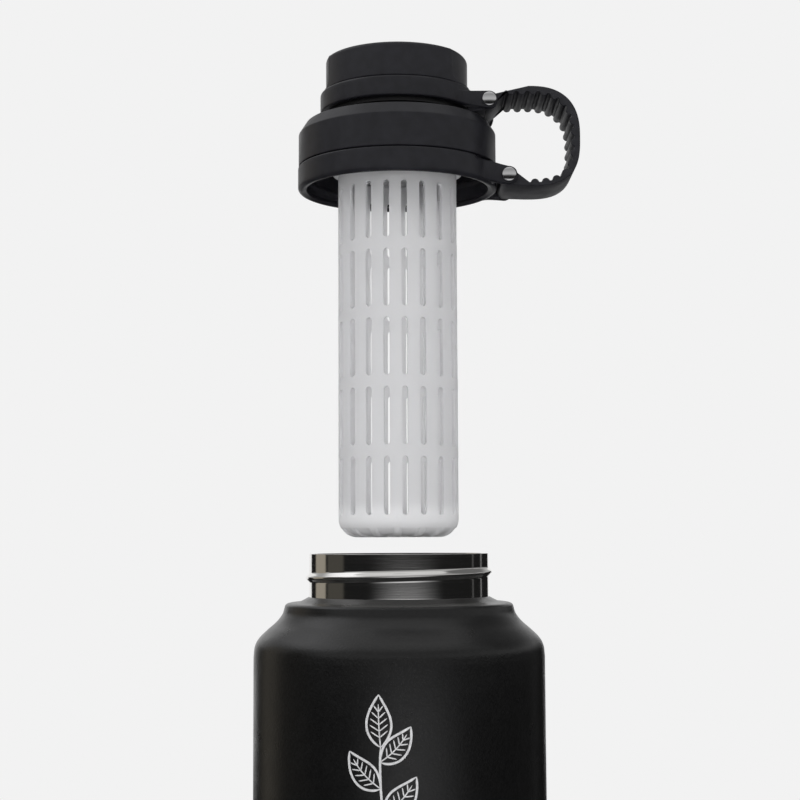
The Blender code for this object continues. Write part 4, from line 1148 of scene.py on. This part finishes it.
# %% Ribs
BARREL = 0.003
RIB_COUNT = 16
RIB_HEIGHT = 0.0012
RIB_SHARE = 0.72          # of the way from one valley's middle to the next
RIB_STEPS = 20
inner_top = (UPPER_PIVOT[0] + 2 * BARREL, LOOP_TOP - BAND)
inside = squared_side(LOOP_BOTTOM + BAND_THIN, LOOP_TOP - BAND, LOOP_REACH - BAND, 200)
inside = evenly(np.vstack([inner_top, inside]), RIB_COUNT * RIB_STEPS + 1)
rib_phase = np.abs(np.mod(np.linspace(0.0, RIB_COUNT, len(inside)), 1.0) - 0.5) / 0.5
rib_lift = RIB_HEIGHT * np.sqrt(np.clip(1.0 - (rib_phase / RIB_SHARE) ** 2, 0.0, 1.0))
ribbed = inside + side_normals(inside, closed=False) * rib_lift[:, None]
print("ribs:", RIB_COUNT, "of", RIB_HEIGHT * 1000, "mm")

# %% Carry loop
UPPER_BARREL = 0.0023
TOE = np.array([(0.0281, 0.0276), (0.0250, 0.0276), (0.0252, 0.0256), (0.0310, 0.0263)])
upper_low = touch_point(inside[0], UPPER_PIVOT, UPPER_BARREL, 1)
upper_high = touch_point(outside[0], UPPER_PIVOT, UPPER_BARREL, -1)
lower_high = touch_point(inside[-1], LOWER_PIVOT, BARREL, -1)
lower_low = touch_point(outside[-1], LOWER_PIVOT, BARREL, 1)
upper_barrel = np.vstack([
    barrel_arc(UPPER_PIVOT, UPPER_BARREL, upper_low, bearing(UPPER_PIVOT, TOE[3]) % 360.0, 12),
    finer(TOE[::-1], 0.0005, closed=False),
    barrel_arc(UPPER_PIVOT, UPPER_BARREL, TOE[0], bearing(UPPER_PIVOT, upper_high), 20),
])
lower_barrel = barrel_arc(LOWER_PIVOT, BARREL, lower_low, bearing(LOWER_PIVOT, lower_high), 24)
loop_outline = apart(np.vstack([outside, lower_barrel, ribbed[::-1], upper_barrel]), least=1e-6)
loop = on_lid(slab(
    "fine_loop", [loop_outline, pin_hole(UPPER_PIVOT), pin_hole(LOWER_PIVOT)],
    -LOOP_HALF_WIDTH, LOOP_HALF_WIDTH, 0.00035, standing,
))
dress(loop, LOOP_PLASTIC, "loop_plastic", None, "loop_handle")
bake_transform(loop)

# %% [markdown]
# ## Rivets
#
# Each pivot is a two-part rivet: a domed stud from the front, pressed into a domed socket from the back,
# whose tube is the pin that the loop turns on. A squashed sphere would do for a head, but a bright dome
# mirrors the whole studio, so its bend matters: a flat cap of a large sphere, then a small round edge that
# takes over at the same slope.

# %% Rivet head
HEAD_RADIUS = 0.0025
HEAD_HEIGHT = 0.001
HEAD_EDGE = 0.0003
HEAD_SLOPE = 16.0         # degrees, where the edge takes over
HEAD_GAP = 0.0003         # under the head
seat = ARM_OUTSIDE + HEAD_GAP
slope = math.radians(HEAD_SLOPE)
sphere = (HEAD_RADIUS - HEAD_EDGE) / math.sin(slope) + HEAD_EDGE
sphere_middle = seat + HEAD_HEIGHT - sphere
edge_middle = (HEAD_RADIUS - HEAD_EDGE, sphere_middle + (sphere - HEAD_EDGE) * math.cos(slope))
head = np.vstack([
    arc((0.0, sphere_middle), sphere, 90.0, 90.0 - HEAD_SLOPE, 8),
    arc(edge_middle, HEAD_EDGE, 90.0 - HEAD_SLOPE, 0.0, 6)[1:],
])
print("rivet head: part of a sphere of", round(sphere * 1000, 1), "mm")

# %% Rivets
STUD_RADIUS = 0.0005
SOCKET_BORE = 0.0008
socket_end = PIN_RADIUS - ARM_OUTSIDE
stud_end = socket_end + HEAD_GAP
stud_outline = np.vstack([
    head, (HEAD_RADIUS, seat), (STUD_RADIUS, seat), (STUD_RADIUS, stud_end), (0.0, stud_end),
])
socket_outline = np.vstack([
    (0.0, socket_end), (SOCKET_BORE, socket_end), (SOCKET_BORE, ARM_OUTSIDE), (PIN_RADIUS, ARM_OUTSIDE),
    (PIN_RADIUS, -seat), (HEAD_RADIUS, -seat), head[::-1] * (1.0, -1.0),
])
for place, pivot, body in (("lower", LOWER_PIVOT, "lid"), ("upper", UPPER_PIVOT, "cap_keeper")):
    stand = Matrix.Translation((pivot[0], 0.0, LID_EDGE + pivot[1])) @ Matrix.Rotation(math.pi / 2, 4, "X")
    for half, outline in (("stud", stud_outline), ("socket", socket_outline)):
        rivet = lathe(f"fine_{place}_{half}", outline, steps=48, closed=False)
        rivet.data.transform(stand)
        dress(rivet, CHROME, "chrome", body, f"{place}_rivet_{half}")

# %% [markdown]
# ## The infuser
#
# The infuser is a deep cup of frosted plastic, pierced by five rows of slots with round ends. Ninety
# booleans would be slow and leave bad shading, so the holes are in the mesh from the start. One slot and
# the wall round it is a cell: rings of points that change from the slot's outline to the cell's rectangle.
# The cell is repeated over the unrolled wall by adding offsets to its array, and then the whole sheet is
# wrapped: across becomes the angle, and down becomes the distance along the cup's side, round its flange
# and its corner and in under its floor. The sides of the mould part in two halves, so the slots aren't
# quite evenly spaced round the cup, and its floor has shallow pockets between spokes. A Solidify modifier
# gives the wall its thickness inwards, and a Bevel modifier takes the sharpness off every slot.

# %% Infuser sizes
CUP_RADIUS = 0.02115
FLANGE_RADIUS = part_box("infuser_basket")[1].x
CUP_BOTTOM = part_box("infuser_basket")[0].z
CUP_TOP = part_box("infuser_basket")[1].z
CUP_CORNER = 0.0065
CUP_NECK = 0.0206         # radius over the flange
FLANGE_TOP, FLANGE_LOW, FLANGE_FOOT = (LID_EDGE + rise for rise in (0.0090, 0.0060, 0.0050))
COLUMNS = 18
ROWS = 5
PITCH = 0.0239
SLOT_LENGTH = 0.0201
SLOT_WIDTH = 0.0025
ARC_STEPS = 12
FIRST_SLOT = LID_EDGE - 0.0004
cell_across = 2 * math.pi * CUP_RADIUS / COLUMNS
print("slots:", ROWS * COLUMNS, "in cells of", round(cell_across * 1000, 1), "by", PITCH * 1000, "mm")

# %% One slot's cell
CELL_RINGS = np.array([0.0, 0.09, 0.3, 0.62, 1.0])[:, None, None]


def slot_cell(across, down, length, width, side_steps=8):
    """Rings of points (u, v) from a slot's outline out to the rectangle of its cell.

    The slot's round ends lead to the cell's short sides, and its straight sides to the long sides, each
    at even steps, so that neighbouring cells share their points.
    """
    half, straight = width / 2, length / 2 - width / 2
    top = arc((0.0, straight), half, 0.0, 180.0, ARC_STEPS)[:-1]
    left = np.linspace((-half, straight), (-half, -straight), side_steps, endpoint=False)
    slot = np.vstack([top, left, -top, -left])
    box_top = np.linspace((across / 2, down / 2), (-across / 2, down / 2), ARC_STEPS, endpoint=False)
    box_left = np.linspace((-across / 2, down / 2), (-across / 2, -down / 2), side_steps, endpoint=False)
    box = np.vstack([box_top, box_left, -box_top, -box_left])
    return slot * (1 - CELL_RINGS) + box * CELL_RINGS


cell = slot_cell(cell_across, PITCH, SLOT_LENGTH, SLOT_WIDTH)
rings, around = cell.shape[:2]
print("a cell:", rings, "rings of", around, "points")

# %% Cup's side view and pockets
cup_path = np.vstack([
    (CUP_NECK, CUP_TOP), (CUP_NECK, FLANGE_TOP), (FLANGE_RADIUS, FLANGE_TOP),
    (FLANGE_RADIUS, FLANGE_LOW), (CUP_RADIUS, FLANGE_FOOT),
    arc((CUP_RADIUS - CUP_CORNER, CUP_BOTTOM + CUP_CORNER), CUP_CORNER, 0.0, -90.0, 24), (0.0, CUP_BOTTOM),
])
cup_along = np.concatenate([[0.0], np.cumsum(np.linalg.norm(np.diff(cup_path, axis=0), axis=1))])
POCKETS = 14
POCKET_TURN = math.radians(11.3)
POCKET_DEPTH = 0.0006
POCKET_REACH, REACH_FADE = 0.0067, 0.0005   # up the corner, along the cup's side
HUB_RADIUS, HUB_FADE = 0.009, 0.0008
SPOKE_SHARE, SPOKE_FADE = 0.2, 0.2


def pockets(angle, s):
    """How deep the floor's pockets are: shallow radial dents between spokes, from the corner inwards."""
    phase = np.abs(np.mod((angle - POCKET_TURN) / (2 * np.pi) * POCKETS, 1.0) - 0.5) * 2
    between = smooth((phase - SPOKE_SHARE) / SPOKE_FADE)
    start = cup_along[-1] - (CUP_RADIUS - CUP_CORNER) - POCKET_REACH
    end = cup_along[-1] - HUB_RADIUS
    return POCKET_DEPTH * between * smooth((s - start) / REACH_FADE) * smooth((end - s) / HUB_FADE)


print("from the cup's rim down its side to the middle of its floor:", round(cup_along[-1], 4), "m")

# %% Wrapping the cup
DRIFT = [math.radians(v) for v in (-1.98, -0.12, -2.85, -1.65)]
POCKET_SLANT, FLAT_RADIUS = 0.5, 0.008      # a pocket also sinks inwards, but for the flat middle


def wrap_cup(u, s):
    """Wrap an unrolled sheet: u is the distance round the full cup, s the distance down its side.

    The angle a from the front is u / radius, plus a drift that is a sum of 1, cos a, sin 2a and
    cos a sin 2a, each times its own small angle.
    """
    angle = u / CUP_RADIUS
    cosine, double = np.cos(angle), np.sin(2 * angle)
    angle = angle + DRIFT[0] + DRIFT[1] * cosine + DRIFT[2] * double + DRIFT[3] * double * cosine
    radius, height = np.interp(s, cup_along, cup_path[:, 0]), np.interp(s, cup_along, cup_path[:, 1])
    depth = pockets(angle, s)
    radius, height = radius - depth * POCKET_SLANT * (radius > FLAT_RADIUS), height + depth
    return np.stack([radius * np.sin(angle), -radius * np.cos(angle), height], axis=-1)


print("the slots are turned by up to", round(math.degrees(sum(map(abs, DRIFT))), 1), "degrees at most")

# %% Pierced wall
down_to_first = cup_along[4] + cup_path[4, 1] - FIRST_SLOT
column = (np.arange(COLUMNS) + 0.5) * cell_across
row = down_to_first + SLOT_LENGTH / 2 + np.arange(ROWS) * PITCH
u = cell[None, None, :, :, 0] + column[None, :, None, None]
s = -cell[None, None, :, :, 1] + row[:, None, None, None]
u, s = np.broadcast_arrays(u, s)
cell_points = wrap_cup(u, s).reshape(-1, 3)
cell_faces = grid_faces(rings, around, False, True)
offsets = np.arange(ROWS * COLUMNS)[:, None, None] * rings * around
cup_faces = (cell_faces[None] + offsets).reshape(-1, 4).tolist()
print("pierced wall:", len(cup_faces), "faces")

# %% Plain wall over and under the slots
cell_top = down_to_first - (PITCH - SLOT_LENGTH) / 2
cell_bottom = cell_top + ROWS * PITCH
edge_u = np.arange(COLUMNS * ARC_STEPS) / ARC_STEPS * cell_across
upper_rows = np.unique(np.concatenate([np.linspace(0.0, cell_top, 12), cup_along[1:5]]))
lower_rows = np.linspace(cell_bottom, cup_along[-1], 56)
bands = [wrap_cup(*np.meshgrid(edge_u, rows)) for rows in (upper_rows, lower_rows)]
first = len(cell_points)
for band in bands:
    cup_faces += (grid_faces(len(band), len(edge_u), False, True) + first).tolist()
    first += band.shape[0] * band.shape[1]
print("with the plain wall:", len(cup_faces), "faces")

# %% Infuser
CUP_WALL = 0.0013
SEAM = 2e-6
SLOT_EDGE, SHARP = 0.00018, math.radians(50.0)
cup_points = np.vstack([cell_points] + [band.reshape(-1, 3) for band in bands])
infuser = put_mesh("fine_infuser", cup_points, cup_faces)
weld(infuser.data, SEAM)
wall = infuser.modifiers.new("wall", "SOLIDIFY")
wall.thickness = CUP_WALL
wall.offset = -1.0
edges = infuser.modifiers.new("edges", "BEVEL")
edges.width = SLOT_EDGE
edges.segments = 2
edges.limit_method = "ANGLE"
edges.angle_limit = SHARP
edges.use_clamp_overlap = True
dress(infuser, FROSTED, "frosted_plastic", "infuser", "infuser_basket")

# %% [markdown]
# ## The light
#
# The object is black, so what it shows is mostly what it mirrors. Real studios surround such an object
# with dark cloth at eye level and a soft bright ceiling, and put the pale backdrop behind it. A picture of
# a studio could light it too, but here every part is a shape that can be moved. The world is plain and
# pale: camera rays, mirror rays and rays through the frosted cup see the backdrop's grey, and all others
# see a white a little dimmer, which is the soft light from all round.

# %% World
PALE = 0.888
WORLD_LIGHT = 0.75


def grey(level):
    """A colour with the same red, green and blue."""
    return level, level, level, 1.0


world = bpy.data.worlds.new("studio")
bpy.context.scene.world = world
world.use_nodes = True
nodes, links = tree(world)
nodes.clear()
rays = add_node(nodes, "LightPath")
lit = add_node(nodes, "Background", Color=grey(1.0), Strength=WORLD_LIGHT)
seen = add_node(nodes, "Background", Color=grey(PALE), Strength=1.0)
either, any_of = add_node(nodes, "Math"), add_node(nodes, "Math")
either.operation = any_of.operation = "MAXIMUM"
mixed, out = add_node(nodes, "MixShader"), add_node(nodes, "OutputWorld")
for start, end in (
    (rays.outputs["Is Camera Ray"], either.inputs[0]), (rays.outputs["Is Glossy Ray"], either.inputs[1]),
    (either.outputs[0], any_of.inputs[0]), (rays.outputs["Is Transmission Ray"], any_of.inputs[1]),
    (any_of.outputs[0], mixed.inputs["Fac"]), (lit.outputs[0], mixed.inputs[1]),
    (seen.outputs[0], mixed.inputs[2]), (mixed.outputs[0], out.inputs["Surface"]),
):
    links.new(start, end)
print("world:", len(nodes), "nodes")

# %% [markdown]
# ## The floor
#
# The bottle stands on a pale floor that keeps its shadow. A plain floor would show an edge against the
# backdrop, so this one is matte near the bottle and turns into a glow of the backdrop's grey further out.

# %% Floor
FLOOR_RADIUS = 3.0
FLOOR_LEVEL = -0.0002
FLOOR_GREY = 0.8
MATTE_RADIUS, GLOW_RADIUS = 0.15, 0.75
ROUND_STEPS = 96
floor_rings = np.concatenate([[0.0], np.geomspace(0.05, FLOOR_RADIUS, 20)])
floor_outline = np.stack([floor_rings, np.full(len(floor_rings), FLOOR_LEVEL)], axis=1)
floor = lathe("floor", floor_outline, steps=ROUND_STEPS, closed=False)
cloth = bpy.data.materials.new("pale_floor")
cloth.use_nodes = True
nodes, links = tree(cloth)
nodes.clear()
matte = add_node(nodes, "BsdfDiffuse", Color=grey(FLOOR_GREY))
glow = add_node(nodes, "Emission", Color=grey(PALE))
where, distance = add_node(nodes, "TexCoord"), add_node(nodes, "VectorMath")
distance.operation = "LENGTH"
far = add_node(nodes, "MapRange", From_Min=MATTE_RADIUS, From_Max=GLOW_RADIUS)
far.interpolation_type = "SMOOTHSTEP"
mixed, out = add_node(nodes, "MixShader"), add_node(nodes, "OutputMaterial")
for start, end in (
    (where.outputs["Object"], distance.inputs[0]), (distance.outputs["Value"], far.inputs["Value"]),
    (far.outputs["Result"], mixed.inputs["Fac"]), (matte.outputs[0], mixed.inputs[1]),
    (glow.outputs[0], mixed.inputs[2]), (mixed.outputs[0], out.inputs["Surface"]),
):
    links.new(start, end)
floor.data.materials.append(cloth)
floor.visible_glossy = False
print("floor:", FLOOR_RADIUS, "m to its edge")

# %% [markdown]
# ## What the object mirrors
#
# A large sphere that only mirror rays can see is the studio's room: dark near eye level and pale overhead.
# Cards in front of it do what cards of a real studio do. The backdrop gives the object its pale rims, the
# warm card the bright left of the steel neck, the strips the thin lines at its right, the front card the
# shine on the undersides, and the upper card and shade make the lid's slopes brighter left than right.
# A card's edge is soft, because a hard one would draw a line on the black. Softness is an attribute on the
# card's points, which the material reads.


# %% Pieces of the studio
def glowing(name, colour):
    """A material that only glows, and its emission node."""
    made = bpy.data.materials.new(name)
    made.use_nodes = True
    nodes, links = tree(made)
    nodes.clear()
    emit = add_node(nodes, "Emission", Color=(*colour, 1.0))
    links.new(emit.outputs[0], add_node(nodes, "OutputMaterial").inputs["Surface"])
    return made, emit


def only_mirrored(piece, material):
    """Let mirror rays alone see a piece of the studio."""
    piece.data.materials.append(material)
    piece.visible_camera = piece.visible_diffuse = piece.visible_transmission = False
    piece.visible_shadow = piece.visible_volume_scatter = False


EYE_LEVEL = 0.27
print("eye level:", EYE_LEVEL, "m")

# %% Mirror sphere
DOME_RADIUS = 5.0
DOME_LEVELS = (           # sine of the height over eye level, and how bright it is there
    (-1.0, 0.05), (-0.6, 0.02), (-0.3, 0.01), (0.0, 0.01), (0.1, 0.08), (0.2, 0.46), (0.3, 0.46), (0.6, 0.28),
    (0.85, 0.6), (1.0, 0.7),
)
dome = lathe(
    "mirror_dome", arc((0.0, 0.0), DOME_RADIUS, 90.0, -90.0, 35), steps=ROUND_STEPS, closed=False,
)
dome.data.transform(Matrix.Translation((0.0, 0.0, EYE_LEVEL)))
cloth, emit = glowing("dome_cloth", (0.0, 0.0, 0.0))
nodes, links = tree(cloth)
ramp = add_node(nodes, "ValToRGB")
stops = ramp.color_ramp.elements
for count, (sine, level) in enumerate(DOME_LEVELS):
    position = (sine + 1.0) / 2
    stop = stops[0] if count == 0 else stops[-1] if sine == 1.0 else stops.new(position)
    stop.position = position
    stop.color = grey(level)
links.new(height_share(cloth, EYE_LEVEL - DOME_RADIUS, EYE_LEVEL + DOME_RADIUS), ramp.inputs["Fac"])
links.new(ramp.outputs["Color"], emit.inputs["Color"])
only_mirrored(dome, cloth)
print("mirror sphere:", len(DOME_LEVELS), "levels of grey")

# %% Cards
FAR, NEAR = 2.3, 0.8
CARD_POINTS = 49
CARDS = {
    # distance from the axis, azimuth and half width in degrees, share of the half width and of the half
    # height that fades, low and high edge over eye level, colour
    "backdrop_card": (FAR, 185.0, 26.0, 0.05, 0.2, -0.55, 1.6, (PALE, PALE, PALE)),
    "warm_card": (FAR, -119.0, 14.4, 0.25, 0.2, -0.9, 1.0, (0.30, 0.272, 0.225)),
    "warm_card_edge": (FAR, -88.0, 16.5, 0.3, 0.2, -0.9, 1.0, (0.062, 0.058, 0.05)),
    "front_card": (NEAR, 9.0, 50.0, 0.9, 0.3, -0.75, -0.032, (0.6, 0.6, 0.61)),
    "right_strip": (FAR, 108.0, 1.6, 0.6, 0.2, -1.0, 0.9, (0.1, 0.1, 0.1)),
    "far_right_strip": (FAR, 129.0, 2.2, 0.6, 0.2, -1.0, 0.9, (0.22, 0.22, 0.22)),
    "upper_left_card": (FAR, -98.0, 52.0, 0.6, 0.4, 1.2, 4.3, (1.1, 1.1, 1.12)),
    "upper_right_shade": (FAR, 122.0, 42.0, 0.5, 0.4, 0.5, 4.2, (0.14, 0.14, 0.14)),
}


def card(name, away, azimuth, half_width, side_fade, end_fade, low, high, colour):
    """An upright piece of a round wall: (d sin a, -d cos a, z), for an azimuth a from the front.

    It fades out towards its edges over shares of its half size, by an attribute on its points.
    """
    across = up = np.linspace(-1.0, 1.0, CARD_POINTS)
    angle = np.radians(azimuth + half_width * across)
    height = EYE_LEVEL + (low + high) / 2 + (high - low) / 2 * up
    angle, height = np.meshgrid(angle, height)
    points = np.stack([away * np.sin(angle), -away * np.cos(angle), height], axis=-1)
    soft = smooth((1.0 - np.abs(across)) / side_fade) * smooth((1.0 - np.abs(up)) / end_fade)[:, None]
    made = put_mesh(name, points, grid_faces(len(up), len(across), False, False).tolist())
    made.data.attributes.new("soft", "FLOAT", "POINT").data.foreach_set("value", soft.ravel())
    material, emit = glowing(name, colour)
    nodes, links = tree(material)
    share, clear, mixed = (add_node(nodes, kind) for kind in ("Attribute", "BsdfTransparent", "MixShader"))
    share.attribute_name = "soft"
    links.new(share.outputs["Fac"], mixed.inputs["Fac"])
    links.new(clear.outputs[0], mixed.inputs[1])
    links.new(emit.outputs[0], mixed.inputs[2])
    links.new(mixed.outputs[0], nodes["Material Output"].inputs["Surface"])
    only_mirrored(made, material)


for name, plan in CARDS.items():
    card(name, *plan)
print("cards:", ", ".join(CARDS))

# %% [markdown]
# ## The lamps
#
# Mirroring alone leaves matte parts flat. Three soft lamps shade them: one over the object, one from the
# front left, and a low one in front that lights the infuser's foot and the undersides. They are area lamps,
# because a small lamp would cast hard shadows, and neither the camera nor mirror rays see them.


# %% Lamps
def soft_lamp(name, place, target, size, power):
    """A square area lamp that points at a target and that neither the camera nor mirror rays see."""
    data = bpy.data.lights.new(name, "AREA")
    data.size = size
    data.energy = power
    lamp = bpy.data.objects.new(name, data)
    lamp.location = place
    lamp.rotation_euler = (Vector(target) - Vector(place)).to_track_quat("-Z", "Y").to_euler()
    lamp.visible_camera = lamp.visible_glossy = False
    bpy.context.scene.collection.objects.link(lamp)
    print(name, power, "W")


soft_lamp("ceiling_lamp", (0.0, -0.1, 1.6), (0.0, 0.0, 0.3), 1.0, 2.5)
soft_lamp("left_lamp", (-1.1, -1.3, 0.9), (0.0, 0.0, 0.3), 0.8, 2.1)
soft_lamp("low_lamp", (0.0, -1.2, 0.03), (0.0, 0.0, 0.28), 0.5, 7.0)
